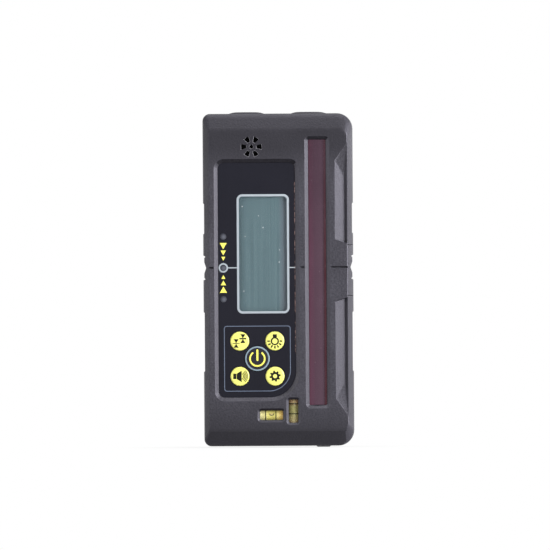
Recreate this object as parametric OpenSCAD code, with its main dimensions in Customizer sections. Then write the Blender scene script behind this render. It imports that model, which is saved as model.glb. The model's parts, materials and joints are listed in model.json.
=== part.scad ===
// Handheld receiver for a rotating laser: a two-shell moulded housing with a sunken key panel,
// a display, a long receiving window, two spirit vials, magnets in the top, and a hinged battery
// door with a sprung latch at the back. Millimetres, +X to the right, -Y to the front, +Z up.
// Heights are measured from the underside of the body. The whole receiver is then lifted by the
// reach of the latch lip, so that its lowest point is at zero.

/* [Housing] */
// Width of the body
body_w = 76; // [74:0.5:82]
// Height of the body, from its underside to its top face
body_h = 168.5; // [167:0.5:178]
// Depth from the front face to the clamp pad at the back
body_d = 36; // [35:0.5:42]
// Thickness of the moulded walls
wall = 2.6; // [2.2:0.1:3]
// Radius of the left-hand corners
corner_left = 3.7; // [3:0.1:6]
// Radius of the right-hand corners
corner_right = 8; // [5:0.5:9]
// Width of the bevel down each side of the front face
bevel_side = 2.8; // [2:0.1:3]
// Height of the bevel above the front face
bevel_top = 8.5; // [6:0.5:9]
// Height of the bevel below the front face
bevel_bottom = 7.85; // [6:0.05:8]
// How far the front bevels fall back
bevel_depth = 4; // [3:0.25:5]
// Width of the bevel round the back face
rear_bevel = 2.5; // [1.5:0.1:2.8]
// How far the rear bevel comes forward
rear_bevel_depth = 3; // [2:0.1:3.4]
// Depth of the rear shell, from the joint to the clamp pad
rear_shell_d = 23; // [22.5:0.25:23.5]
// Width of the rim that carries the seal at the joint
rim_w = 4.2; // [4:0.1:4.4]
// Depth of that rim on each shell
rim_d = 3; // [2.5:0.1:3]
// Width of the housing seal
seal_w = 1; // [0.8:0.1:1.2]
// Height of the housing seal
seal_h = 1; // [0.8:0.1:1.4]
// Radius of the housing screw bosses
boss_r = 3.5; // [3.2:0.1:3.6]
// Radius of the housing screws
screw_r = 1.5; // [1.2:0.1:1.6]
// Radius of the housing screw heads
screw_head_r = 2.7; // [2.4:0.1:2.8]
// Height of the housing screw heads
screw_head_h = 2.2; // [1.8:0.1:2.6]
// Depth of the holes that the screw heads sit in, below the back face
screw_sink = 6; // [4:0.5:8]
// Free space between a fixed piece and its seat
fit_gap = 0.05; // [0.02:0.01:0.1]

/* [Index and grips] */
// Distance of the on-grade index below the middle of the display
index_drop = 7; // [4:0.5:10]
// Width of the index groove across the front
groove_w = 0.9; // [0.6:0.1:1.2]
// Depth of the index groove
groove_d = 1.4; // [0.6:0.05:1.6]
// Half the height of the stepped index strip on each side
strip_half = 5.7; // [5:0.1:7]
// Depth of the index strip
strip_d = 0.45; // [0.3:0.05:0.6]
// Depth of the index notch at the middle of the strip
notch_d = 1.4; // [1:0.1:1.6]
// Half the height of the index notch
notch_half = 2.9; // [2:0.1:3.5]
// Depth of the small notches at the ends of the strip
tick_d = 1.1; // [0.8:0.1:1.3]
// Half the height of the small notches
tick_half = 0.6; // [0.4:0.1:0.8]
// Depth of the grip recesses in the sides
grip_d = 0.5; // [0.3:0.1:0.8]
// Lower grip recess: distance of its bottom below the index
grip_low_drop = 52.8; // [48:0.1:56]
// Lower grip recess: its height
grip_low_h = 30.5; // [26:0.5:34]
// Upper grip recess: distance of its bottom above the index
grip_high_rise = 17; // [15:0.5:22]
// Upper grip recess: its height
grip_high_h = 15.8; // [12:0.1:18]
// Width of the sloping floor of the finger scoops
scoop_floor_w = 4.9; // [4:0.1:5.4]
// Width of the steep outer wall of the scoops
scoop_wall_w = 1.55; // [1:0.05:1.6]
// Depth of the finger scoops
scoop_d = 1.8; // [1.4:0.1:3]
// Distance of the scoops' outer ends from the top and the underside of the body
scoop_end = 23.95; // [22:0.05:30]
// Slant of the scoops' outer ends
scoop_slant = 57; // [45:1:65]
// Radius of the run-out at the scoops' outer ends
scoop_end_r = 60; // [40:1:80]
// Distance of the bridge's middle below the index
bridge_drop = 1.65; // [0:0.05:4]
// Half the height of the bridge at its inner end
bridge_half_in = 16.4; // [15:0.1:18]
// Half the height of the bridge at its outer end
bridge_half_out = 13.65; // [13:0.05:15]
// Width and depth of the seams across the rim at the bridge
bridge_seam = 0.35; // [0.2:0.05:0.5]

/* [Panel and display] */
// Distance of the panel from the left side of the body
panel_margin = 7.6; // [7:0.1:9]
// Space between the panel and the receiving window
panel_gap = 6.8; // [6.2:0.1:8]
// Height of the panel's lower edge
panel_z = 24.8; // [24:0.1:26]
// Distance of the panel's top from the top of the body
panel_drop = 24.9; // [24:0.1:30]
// Radius of the panel's large lower right corner
panel_r_large = 13; // [8:0.5:14]
// Radius of the panel's other corners
panel_r = 3; // [2:0.1:4]
// Depth of the panel's face below the front face
panel_sink = 1.4; // [1:0.1:1.6]
// Thickness of the panel
panel_t = 0.8; // [0.6:0.1:1]
// Width of the sloping walls round the panel
panel_slope = 2; // [1.6:0.1:2.4]
// Distance of the display window from the left side of the panel
display_left = 9.47; // [8.5:0.01:12]
// Distance of the display window from the right side of the panel
display_right = 3.05; // [2.5:0.01:4]
// Distance of the display window from the lower edge of the panel
display_rise = 42.45; // [41:0.05:50]
// Distance of the display window from the top of the panel
display_drop = 15.95; // [14:0.05:20]
// Radius of the display window's corners
display_r = 2.8; // [2:0.1:4]
// Thickness of the display window
display_t = 1.5; // [1.2:0.1:1.8]
// Ledge that the display window rests on, all round
display_ledge = 0.9; // [0.6:0.1:1.2]
// Margin of the display glass beyond its opening
glass_margin = 2.2; // [1.5:0.1:2.4]
// Thickness of the display glass
glass_t = 2; // [1.6:0.1:2.2]
// Height of the contact strips above and below the backlight
contact_strip_h = 2.2; // [1.6:0.1:2.6]
// Distance of the grade lamps from the left side of the panel
lamp_inset = 2.53; // [2.4:0.01:3.5]
// Pitch of the grade lamps
lamp_pitch = 15.85; // [14:0.05:17]
// Radius of the grade lamps' lenses
lamp_r = 1.6; // [1.2:0.1:2]
// Height of the lens domes above the panel
lamp_proud = 0.15; // [0.1:0.05:0.3]
// Height of the lamps on the board
lamp_h = 1.6; // [1:0.1:2]

/* [Keys] */
// Height of the middle of the key group above the panel's lower edge
keys_rise = 19.55; // [18:0.05:21]
// How far the key columns stand in from midway between the panel's middle and its sides
key_inset = 0.85; // [0:0.05:1.2]
// Space between the flanges of the power key and the keys round it
key_space = 0.5; // [0.4:0.05:1]
// Radius of the outer keys
key_r = 4.75; // [4.5:0.05:5.1]
// Radius of the power key
power_r = 6.35; // [5.6:0.05:6.5]
// Height of the keys above the panel
key_proud = 0.65; // [0.4:0.05:1]
// Travel of the keys
key_travel = 0.5; // [0.3:0.1:0.6]
// Free space round the keys
key_gap = 0.2; // [0.15:0.05:0.3]
// Width of the flange that keeps a key behind the wall
key_flange = 0.5; // [0.4:0.05:0.6]
// Thickness of that flange
key_flange_t = 0.8; // [0.6:0.1:1]
// Radius of the rounded edge of a key
key_edge_r = 0.4; // [0.2:0.05:0.5]
// Rise of a key's face from its edge to its middle
key_crown = 0.15; // [0.05:0.05:0.3]
// Side of the switches under the keys
switch_w = 6; // [5:0.5:7]

/* [Receiving window] */
// Distance of the window's middle from the right side of the body
window_inset = 18.1; // [17.5:0.1:19.5]
// Width of the receiving window
window_w = 9; // [8:0.1:9.6]
// Height of the window's lower end
window_z = 20.7; // [19:0.1:22]
// Distance of the window's upper end from the top of the body
window_drop = 13.3; // [12.5:0.1:18]
// Depth of the window's face below the front face
window_sink = 0.8; // [0.6:0.1:2]
// Crown of the window's face
window_crown = 0.5; // [0.3:0.1:0.8]
// Width of the sloping walls round the window
window_slope = 1.75; // [1.4:0.05:2]
// Flange that the window is bonded by, behind the wall
window_flange = 1.3; // [1:0.1:1.6]
// Thickness of that flange
window_flange_t = 1.2; // [0.8:0.1:1.6]
// Width of the sensor board
sensor_board_w = 14; // [13:0.5:14.5]
// Number of photodiodes behind the window
diode_count = 12; // [8:1:14]
// Width of a photodiode
diode_w = 7; // [5:0.5:8]
// Height of a photodiode
diode_h = 8.5; // [6:0.5:9]
// Thickness of a photodiode
diode_t = 1.2; // [0.8:0.1:1.6]

/* [Speaker] */
// Place of the speaker grille, to the left of the panel's middle
grille_dx = 2.4; // [-1:0.1:5]
// Distance of the grille's middle from the top of the body
grille_drop = 16.8; // [16:0.1:17.2]
// Outer radius of the grille's slots
grille_r = 5.25; // [4.5:0.05:5.6]
// Inner radius of the grille's slots
grille_inner_r = 2.6; // [2:0.1:3]
// Radius of the grille's middle hole
grille_hole_r = 1; // [0.6:0.1:1.2]
// Number of slots in the grille
grille_slots = 6; // [5:1:8]
// Angle that each slot spans
grille_angle = 30; // [20:1:32]
// Radius of the buzzer
buzzer_r = 6.5; // [6:0.1:7]
// Thickness of the membrane over the buzzer
membrane_t = 0.3; // [0.2:0.05:0.4]

/* [Vials] */
// Radius of the vials
vial_r = 3; // [2.8:0.05:3.1]
// Length of the vials
vial_l = 14; // [13:0.1:14.2]
// Wall of the vials
vial_wall = 0.8; // [0.6:0.1:1]
// Length of the windows over the vials
vial_slot_l = 11.7; // [10:0.1:12.2]
// Width of the windows over the vials
vial_slot_w = 4.75; // [4:0.05:5]
// Width of the sloping walls round the vial windows
vial_slope = 1.15; // [0.8:0.05:1.3]
// Depth of the sloping edge of the vial windows
vial_slope_d = 0.85; // [0.6:0.05:1.3]
// Depth of the vials below the front face
vial_sink = 1.5; // [1.4:0.1:1.7]
// Distance from the horizontal vial's middle to the vertical vial
level_dx = 11.15; // [10.8:0.05:12]
// Height of the horizontal vial
level_z = 15.6; // [15:0.1:16.2]
// Distance from the vertical vial to the middle of the receiving window
plumb_dx = 12.65; // [12.2:0.05:13]
// Height of the vertical vial's middle
plumb_z = 17.65; // [17.6:0.05:18]
// Radius of the bubbles
bubble_r = 1.4; // [1:0.1:1.5]
// Length of the bubbles between their round ends
bubble_l = 2.2; // [1:0.1:3]

/* [Boards] */
// Space between the front wall and the boards
board_gap = 3.7; // [3.6:0.1:4]
// Thickness of the boards
board_t = 1.6; // [1.2:0.1:2]
// Free space round the boards
board_margin = 0.5; // [0.4:0.1:0.8]
// Space between the main board and the sensor board
board_split = 1.6; // [1:0.1:2]
// Radius of the posts that carry the boards
post_r = 2.6; // [2.2:0.1:2.8]
// Radius of the board screws
board_screw_r = 1; // [0.8:0.1:1.2]
// Radius of the board screw heads
board_screw_head_r = 1.9; // [1.6:0.1:2.2]
// Height of the board screw heads
board_screw_head_h = 1.4; // [1:0.1:1.8]
// Depth that the board screws enter the posts
board_screw_l = 3; // [2:0.1:3.4]
// Width of the link between the boards
link_w = 8; // [6:0.5:9]
// Height of the link between the boards
link_h = 16; // [10:1:20]
// Thickness of the link between the boards
link_t = 2.4; // [2:0.1:2.4]

/* [Magnets] */
// Distance between the magnets
magnet_pitch = 31.5; // [30:0.5:36]
// Free space from the domed caps to the joint and to the rear bevel
cap_margin = 0.3; // [0.2:0.05:0.8]
// Radius of the flat top of the caps
cap_top_r = 4.85; // [4:0.05:6]
// Height of the caps above the top face
cap_proud = 0.93; // [0.6:0.01:1.4]
// How far the rim of a cap reaches past the cup under it
cap_rim = 2.2; // [1.6:0.1:2.6]
// Depth of that cup below the top face
cup_d = 4.6; // [4:0.1:5.4]
// Wall of that cup
cup_wall = 0.9; // [0.7:0.1:1.2]

/* [Clamp] */
// Height of the clamp pad above the back face
pad_proud = 0.6; // [0.4:0.1:1]
// Width of the clamp pad
pad_w = 34; // [28:1:40]
// Height of the clamp pad
pad_h = 24; // [20:1:24]
// Radius of the clamp pad's corners
pad_r = 4; // [2:0.5:6]
// Radius of the brass clamp insert
insert_r = 4.5; // [4:0.1:5]
// Length of the brass clamp insert
insert_l = 11; // [10:0.5:12]
// Radius of the clamp thread at its crests
thread_r = 2.55; // [2.2:0.05:3]
// Depth of the clamp thread
thread_l = 9.5; // [8:0.5:9.5]
// Wall round and under the clamp insert
insert_wall = 2; // [1.6:0.1:2.4]

/* [Battery compartment] */
// Distance of the battery door's middle from the right side of the body
door_margin = 15.5; // [15.4:0.1:17]
// Thickness of the battery door
door_t = 2.4; // [2.2:0.1:2.6]
// Free space round the battery door
door_gap = 0.35; // [0.3:0.05:0.5]
// Height of the battery door's lower edge
door_z = 3.4; // [3.2:0.1:3.6]
// Radius of the battery door's lower corners
door_r = 4.6; // [4:0.1:6]
// Ledge round the compartment that the door seal presses on
ledge_w = 1.3; // [1.2:0.1:1.4]
// Width of the door seal
door_seal_w = 0.8; // [0.6:0.1:0.9]
// Thickness of the door seal
door_seal_t = 0.55; // [0.5:0.05:0.7]
// Wall of the compartment
tub_wall = 1.6; // [1.4:0.1:1.8]
// Radius of a battery cell
cell_r = 5.25; // [5:0.05:5.3]
// Length of a battery cell, with its terminal
cell_l = 44.5; // [43:0.1:45]
// Radius of the raised terminal of a cell
terminal_r = 1.9; // [1.5:0.1:2.2]
// Height of that terminal
terminal_h = 1; // [0.8:0.1:1.2]
// Free space round the cells
cell_gap = 0.3; // [0.2:0.05:0.3]
// Thickness of the contact plates
contact_t = 0.5; // [0.4:0.05:0.6]
// Radius of the contact springs' wire
coil_wire_r = 0.2; // [0.15:0.01:0.22]
// Radius of the contact springs at the plate
coil_r = 3.8; // [3.4:0.1:4]
// Radius of the contact springs at the cell
coil_top_r = 1.6; // [1.4:0.1:1.8]
// Height of the contact springs, as the cell presses them
coil_h = 1.8; // [1.6:0.1:2.4]
// Turns of the contact springs
coil_turns = 2.5; // [2:0.5:2.5]
// Radius of the hinge barrel
hinge_r = 1.8; // [1.6:0.05:1.9]
// Radius of the hinge pin
hinge_pin_r = 0.8; // [0.6:0.05:0.9]
// Free space between the turning barrel and what surrounds it
hinge_gap = 0.3; // [0.25:0.05:0.4]
// Length of the fixed lugs at the ends of the hinge
lug_l = 3.6; // [3:0.1:5]

/* [Door latch] */
// Reach of the latch lip below the underside
lip_reach = 0.76; // [0.5:0.01:1.2]
// Width of the latch lip at the underside
lip_w = 8.15; // [7:0.05:9]
// Width of the latch lip at its tip
lip_tip_w = 6.1; // [5:0.1:6.9]
// Depth of the latch lip, from front to back
lip_d = 4; // [3:0.1:4.4]
// Travel of the latch
latch_travel = 2; // [1.6:0.1:2.2]
// Width of the latch inside the housing
latch_w = 11; // [10:0.5:12]
// Height of the latch inside the housing
latch_h = 3.2; // [2.8:0.1:3.4]
// Depth of the latch inside the housing
latch_d = 5.7; // [5:0.1:6]
// Width of the latch nose
nose_w = 6; // [5:0.5:8]
// Height of the latch nose
nose_h = 1.3; // [1:0.1:1.4]
// How far the latch nose reaches into the door
nose_bite = 0.6; // [0.4:0.1:0.8]
// Free space round the latch
latch_gap = 0.2; // [0.15:0.05:0.25]
// Radius of the latch spring's wire
latch_wire_r = 0.18; // [0.14:0.01:0.2]
// Radius of the latch spring
latch_coil_r = 1.2; // [1:0.05:1.3]
// Length of the latch spring at rest
latch_coil_l = 3.6; // [3.4:0.1:4.4]
// Turns of the latch spring
latch_turns = 3; // [2.5:0.5:3]

/* [Hidden] */
$fn = 64;
// A cut reaches this far past the face that it opens
cut = 1;
// Steps in a quarter round of an outline, and in the rounded edges of the housing
arc_steps = 9;
edge_steps = 3;
// Rounded edge between the flanks and the bevels, and between the bevels and the faces
shoulder = 1.2;
rim_edge = 0.6;
// Corner radii of the front face inside its bevels
face_corner_left = 1.2;
face_corner_right = 3.5;
// Corner radii of the receiving window, the vial windows and small flat parts
window_corner = 0.6;
vial_corner = 0.8;
small_corner = 0.5;
// Free space between the screw bosses and the walls, and how much further in the end bosses stand
boss_margin = 0.4;
boss_rise_low = 2.6;
boss_rise_high = 2;
side_boss_rise = 2.6;
foot_boss_margin = 0.1;
// Depth of wall left in front of the housing screws
screw_tip = 1;
// Cross in a screw head, as shares of the head's radius
cross_l = 1.2;
cross_w = 0.3;
// Distances that the board posts keep from the glass, the window and the boards' edges
post_edge = 1;
post_over_glass = 3;
post_split = 0.4;
post_under_window = 2.6;
post_over_window = 2.4;
board_end = 0.4;
// Free height over the latch nose, wall between ledge and hinge, and step from latch to lip
nose_room = 0.9;
hinge_wall = 0.9;
lip_step = 0.2;
// Rim of the contact plates round the springs
contact_rim = 0.6;
// Share of the index groove's width that its floor keeps
groove_floor = 0.85;
// Flat land between the ends of the index groove and the sloping walls beside them
groove_land = 0.45;
// Depth that the scoops' run-out reaches past their floor, and place of the seams on the bridge
scoop_over = 0.4;
seam_inset = 0.75;
// Flange of the lamp lenses, and size of the lamps
lens_flange = 0.5;
lens_flange_t = 0.6;
lamp_w = 3;
lamp_depth = 2;
// Body height and plunger radius of the key switches, as shares of their height and side
switch_body = 0.75;
switch_plunger = 0.28;
// Rim of the membrane round the buzzer, and depth of the buzzer's mouth
membrane_rim = 0.5;
buzzer_mouth = 1;
// End walls of a vial, in thicknesses of its wall
vial_end = 1.5;
// Colours of the mouldings and metals
housing_grey = [0.29, 0.285, 0.31];
panel_black = [0.16, 0.16, 0.19];
key_yellow = [0.95, 0.9, 0.42];
steel = [0.75, 0.76, 0.78];
brass = [0.8, 0.65, 0.3];
board_green = [0.1, 0.35, 0.2];
rubber_black = [0.08, 0.08, 0.09];
window_red = [0.32, 0.14, 0.18];
clear_plastic = [0.85, 0.9, 0.92, 0.4];

// Planes from front to back
y_front = -body_d / 2;
y_pad = body_d / 2;
y_back = y_pad - pad_proud;
y_split = y_pad - rear_shell_d;
y_panel = y_front + panel_sink;
y_floor = y_panel + panel_t;
y_inner = y_floor + wall;
y_rim = y_split - min(rim_d, (y_split - y_inner) / 2);
y_board = y_inner + board_gap;
y_board_back = y_board + board_t;
y_vial = y_front + vial_sink + vial_r;

// Receiving window, panel, display and keys
window_x = body_w / 2 - window_inset;
window_h = body_h - window_drop - window_z;
window_mid_z = window_z + window_h / 2;
panel_left = -body_w / 2 + panel_margin;
panel_right = window_x - window_w / 2 - panel_gap;
panel_w = panel_right - panel_left;
panel_x = (panel_left + panel_right) / 2;
panel_top = body_h - panel_drop;
panel_h = panel_top - panel_z;
display_w = panel_w - display_left - display_right;
display_h = panel_h - display_rise - display_drop;
display_x = panel_left + display_left + display_w / 2;
display_z = panel_z + display_rise + display_h / 2;
index_z = display_z - index_drop;
opening_w = display_w - 2 * display_ledge;
opening_h = display_h - 2 * display_ledge;
glass_w = opening_w + 2 * glass_margin;
glass_h = opening_h + 2 * glass_margin;
lamp_x = panel_left + lamp_inset;
lamp_heights = [for (i = [-1 : 1]) index_z + i * lamp_pitch];
// Columns and rows of the keys, from the middle of the group. The rows clear the power key and each other
keys_z = panel_z + keys_rise;
key_dx = panel_w / 4 - key_inset;
key_reach = power_r + key_r + 2 * key_flange + key_space;
key_row_min = key_r + key_flange + key_space / 2;
key_dz = sqrt(max(key_reach * key_reach - key_dx * key_dx, key_row_min * key_row_min));
key_places = [
    [panel_x, keys_z],
    [panel_x - key_dx, keys_z + key_dz],
    [panel_x + key_dx, keys_z + key_dz],
    [panel_x - key_dx, keys_z - key_dz],
    [panel_x + key_dx, keys_z - key_dz]
];
key_radii = [power_r, key_r, key_r, key_r, key_r];
switch_h = board_gap - fit_gap - key_flange_t - key_travel - 2 * fit_gap;

// Speaker grille and vials
grille_x = panel_x - grille_dx;
grille_z = body_h - grille_drop;
plumb_x = window_x - plumb_dx;
level_x = plumb_x - level_dx;

// Grips, scoops and bridge
grip_low_z = index_z - grip_low_drop;
grip_high_z = index_z + grip_high_rise;
scoop_reach = body_h / 2 - scoop_end;
bridge_z = index_z - bridge_drop;
rim_x = body_w / 2 - bevel_side;
scoop_x = rim_x - scoop_wall_w - scoop_floor_w;

// Battery compartment, from its cells outwards
door_x = body_w / 2 - door_margin;
cell_pitch = 2 * cell_r + cell_gap;
tub_half = cell_pitch / 2 + cell_r + cell_gap;
door_half = tub_half + ledge_w - door_gap;
y_door = y_back - door_t;
y_ledge = y_door - door_seal_t - fit_gap;
y_cell = y_ledge - cell_gap - cell_r;
y_tub = y_cell - cell_r - cell_gap;
latch_room_h = latch_h + nose_h + nose_room;
tub_low = wall + latch_room_h + tub_wall;
tub_high = tub_low + 2 * contact_t + coil_h + cell_l + 2 * fit_gap;
y_hinge = y_back - hinge_r;
hinge_z = tub_high + ledge_w + hinge_r + hinge_gap + hinge_wall;
door_top = hinge_z - hinge_r - hinge_gap;
barrel_half = door_half - lug_l;
cell_places = [door_x - cell_pitch / 2, door_x + cell_pitch / 2];

// Screws of the housing, clear of the boards' parts and of the battery compartment
boss_inset = wall + boss_r + boss_margin;
hinge_block_top = hinge_z + hinge_r + hinge_gap + tub_wall;
screw_places = [
    [-body_w / 2 + boss_inset, boss_inset + boss_rise_low],
    [-body_w / 2 + boss_inset, body_h / 2],
    [-body_w / 2 + boss_inset, body_h - boss_inset - boss_rise_high],
    [body_w / 2 - boss_inset, body_h - boss_inset - boss_rise_high],
    [body_w / 2 - boss_inset, hinge_block_top + 2 * boss_r + side_boss_rise],
    [level_x + vial_l / 2 - boss_r / 4, wall + boss_r + foot_boss_margin]
];

// Boards and the posts that carry them
board_left = -body_w / 2 + rim_w + board_margin;
board_right = window_x - sensor_board_w / 2 - board_split;
board_low = boss_inset + boss_r + board_margin;
board_high = body_h - rim_w - board_margin;
lens_r = lamp_r + lens_flange;
post_low_z = min(display_z - glass_h / 2, lamp_heights[0] - lens_r) - post_r - post_edge;
post_high_z = max(display_z + glass_h / 2, lamp_heights[2] + lens_r) + post_r + post_over_glass;
post_left_x = board_left + post_r + post_edge;
post_right_x = board_right - post_r - post_split;
main_posts = [for (x = [post_left_x, post_right_x], z = [post_low_z, post_high_z]) [x, z]];
sensor_posts = [
    [window_x, window_z - window_flange - post_r - post_under_window],
    [window_x, window_z + window_h + window_flange + post_r + post_over_window]
];
board_posts = concat(main_posts, sensor_posts);
sensor_low = sensor_posts[0].y - post_r - board_end;
sensor_high = sensor_posts[1].y + post_r;

// A level bubble rests against the top of its barrel, and a plumb bubble at the upper end
bubble_rise = vial_r - vial_wall - bubble_r - 2 * fit_gap;
bubble_end = vial_l / 2 - vial_end * vial_wall - bubble_l / 2 - bubble_r - 2 * fit_gap;

// Vial bracket
bracket_margin = 1.2;
bracket_left = level_x - vial_l / 2 - bracket_margin;
bracket_right = plumb_x + vial_r + bracket_margin;
bracket_low = plumb_z - vial_l / 2 - fit_gap;
bracket_high = plumb_z + vial_l / 2 + bracket_margin;

// Magnets, midway between the joint and the rear bevel
magnet_y = (y_split + y_back - rear_bevel_depth) / 2;
cap_r = (y_back - rear_bevel_depth - y_split) / 2 - cap_margin;
cup_r = cap_r - cap_rim;
magnet_places = [-magnet_pitch / 2, magnet_pitch / 2];

// Latch, from the door's inner face forwards
y_latch_back = y_ledge - tub_wall / 2;
nose_l = y_door + nose_bite - y_latch_back;
y_latch_front = y_latch_back - latch_d;
y_room_front = y_latch_front - latch_coil_l - fit_gap;
y_lip_back = y_latch_back - lip_step;
nose_z = wall + latch_gap + latch_h / 2;

// Points of a rounded edge between two straight runs, as [depth, share of the bevel]
function bend(a, b, c) = [for (i = [0 : edge_steps]) let (s = i / edge_steps)
    (1 - s) * (1 - s) * a + 2 * s * (1 - s) * b + s * s * c];

// Rounded outline in [x, z], counter-clockwise. Radii: bottom left, bottom right, top right, top left
function outline(x0, x1, z0, z1, radii) = let (
    centres = [
        [x0 + radii[0], z0 + radii[0]], [x1 - radii[1], z0 + radii[1]],
        [x1 - radii[2], z1 - radii[2]], [x0 + radii[3], z1 - radii[3]]
    ])
    [for (c = [0 : 3], i = [0 : arc_steps]) let (a = 180 + 90 * c + 90 * i / arc_steps)
        centres[c] + radii[c] * [cos(a), sin(a)]];

// The same outline with every side moved inwards
function inset_outline(d) = let (r_left = max(corner_left - d, 0.4), r_right = max(corner_right - d, 0.4))
    outline(-body_w / 2 + d, body_w / 2 - d, d, body_h - d, [r_left, r_right, r_right, r_left]);

function centred_outline(x, z, w, h, r) = outline(x - w / 2, x + w / 2, z - h / 2, z + h / 2, [r, r, r, r]);

// Outlines of the panel, the display window and the receiving window, each grown all round
function panel_outline(d) = let (r = panel_r + d, r_large = panel_r_large + d)
    outline(panel_left - d, panel_right + d, panel_z - d, panel_top + d, [r, r_large, r, r]);

function display_outline(d) =
    centred_outline(display_x, display_z, display_w + 2 * d, display_h + 2 * d, display_r + d);

function window_outline(d) =
    centred_outline(window_x, window_mid_z, window_w + 2 * d, window_h + 2 * d, window_corner + d);

// Outline of the battery door, grown all round and closed at the given height
function door_outline(d, top) = outline(door_x - door_half - d, door_x + door_half + d, door_z - d, top,
    [door_r + d, door_r + d, fit_gap, fit_gap]);

// An outline set at a depth
function ring(points, y) = [for (p = points) [p.x, y, p.y]];

// Body outline where the front bevel has come in by a share of its width
function front_ring(y, share) = let (
    r_left = corner_left + (face_corner_left - corner_left) * share,
    r_right = corner_right + (face_corner_right - corner_right) * share)
    ring(outline(-body_w / 2 + bevel_side * share, body_w / 2 - bevel_side * share,
        bevel_bottom * share, body_h - bevel_top * share, [r_left, r_right, r_right, r_left]), y);

function rear_ring(y, share) = ring(inset_outline(rear_bevel * share), y);

// Centre line of a spring that tapers from one radius to another along +Z
function coil_path(r0, r1, height, turns) = let (steps = 8 * turns)
    [for (i = [0 : steps]) let (s = i / steps, r = r0 + (r1 - r0) * s, a = 360 * turns * s)
        [r * cos(a), r * sin(a), height * s]];

// Least free space between turns of a spring, measured on the points of its centre line
function coil_clearance(path, wire_r) =
    min([for (i = [0 : len(path) - 1], k = [i + 5 : 1 : len(path) - 1]) norm(path[i] - path[k])])
    - 2 * wire_r;

function unit(v) = v / norm(v);

// Solid between outlines that follow each other from front to back
module loft(rings) {
    n = len(rings[0]);
    last = len(rings) - 1;
    front_cap = [for (i = [n - 1 : -1 : 0]) i];
    back_cap = [for (i = [0 : n - 1]) last * n + i];
    sides = [for (k = [0 : last - 1], i = [0 : n - 1]) let (j = (i + 1) % n) each [
        [k * n + i, k * n + j, (k + 1) * n + j],
        [k * n + i, (k + 1) * n + j, (k + 1) * n + i]
    ]];
    polyhedron([for (r = rings) each r], concat([front_cap, back_cap], sides));
}

// Round wire along a path, with six sides and straight ends one wire thick
module wire(path, wire_r) {
    last = len(path) - 1;
    first_way = unit(path[1] - path[0]);
    last_way = unit(path[last] - path[last - 1]);
    line = concat([path[0] - 2 * wire_r * first_way], path, [path[last] + 2 * wire_r * last_way]);
    end = len(line) - 1;
    points = [for (i = [0 : end]) let (
        way = unit(line[min(i + 1, end)] - line[max(i - 1, 0)]),
        side = unit(cross(way, [0, 0, 1])),
        up = cross(side, way))
        each [for (k = [0 : 5]) line[i] + wire_r * (cos(60 * k) * side + sin(60 * k) * up)]];
    sides = [for (i = [0 : end - 1], k = [0 : 5]) let (j = (k + 1) % 6) each [
        [6 * i + k, 6 * i + 6 + k, 6 * i + 6 + j],
        [6 * i + k, 6 * i + 6 + j, 6 * i + j]
    ]];
    polyhedron(points, concat([[0, 1, 2, 3, 4, 5]], [[for (k = [5 : -1 : 0]) 6 * end + k]], sides));
}

// An outline drawn in X and Z, given depth from one plane to another
module plate(points, y0, y1) {
    translate([0, y1, 0]) rotate([90, 0, 0]) linear_extrude(y1 - y0) polygon(points);
}

module box(x0, x1, y0, y1, z0, z1) {
    translate([x0, y0, z0]) cube([x1 - x0, y1 - y0, z1 - z0]);
}

// Round bar along Y
module rod_y(x, z, r, y0, y1) {
    translate([x, y1, z]) rotate([90, 0, 0]) cylinder(r = r, h = y1 - y0);
}

// Round bar along X
module rod_x(y, z, r, x0, x1) {
    translate([x0, y, z]) rotate([0, 90, 0]) cylinder(r = r, h = x1 - x0);
}

// Recess open to the front: its walls slope in to the inner outline, then go straight back to y_end
module sloped_recess(inner, outer, depth, y_end) {
    loft([ring(outer, y_front - cut), ring(outer, y_front),
        ring(inner, y_front + depth), ring(inner, y_end)]);
}

module housing_form() {
    front_edge = bend([0, 1 + rim_edge / bevel_depth], [0, 1], [rim_edge, 1 - rim_edge / bevel_depth]);
    front_shoulder = bend([bevel_depth - shoulder, shoulder / bevel_depth], [bevel_depth, 0],
        [bevel_depth + shoulder, 0]);
    rear_shoulder = bend([rear_bevel_depth + shoulder, 0], [rear_bevel_depth, 0],
        [rear_bevel_depth - shoulder, shoulder / rear_bevel_depth]);
    rear_edge = bend([rim_edge, 1 - rim_edge / rear_bevel_depth], [0, 1],
        [0, 1 + rim_edge / rear_bevel_depth]);
    loft(concat(
        [for (p = concat(front_edge, front_shoulder)) front_ring(y_front + p[0], p[1])],
        [for (p = concat(rear_shoulder, rear_edge)) rear_ring(y_back - p[0], p[1])]));
}

// Notches and grip recesses that run from front to back along both sides
module side_cuts() {
    strip_end = strip_half - tick_half;
    upper = [[cut, strip_half + tick_half], [0, strip_half + tick_half], [-tick_d, strip_half],
        [-strip_d, strip_end], [-strip_d, notch_half], [-notch_d, 0]];
    lower = [for (i = [len(upper) - 2 : -1 : 0]) [upper[i].x, -upper[i].y]];
    notches = concat(upper, lower);
    grips = [[grip_low_z, grip_low_h], [grip_high_z, grip_high_h]];
    for (side = [0, 1]) mirror([side, 0, 0]) translate([body_w / 2, 0, 0]) {
        plate([for (p = notches) [p.x, index_z + p.y]], y_front - cut, y_back + cut);
        for (g = grips)
            plate([[cut, g[0]], [0, g[0]], [-grip_d, g[0] + grip_d], [-grip_d, g[0] + g[1] - grip_d],
                [0, g[0] + g[1]], [cut, g[0] + g[1]]], y_front - cut, y_back + cut);
    }
}

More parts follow.
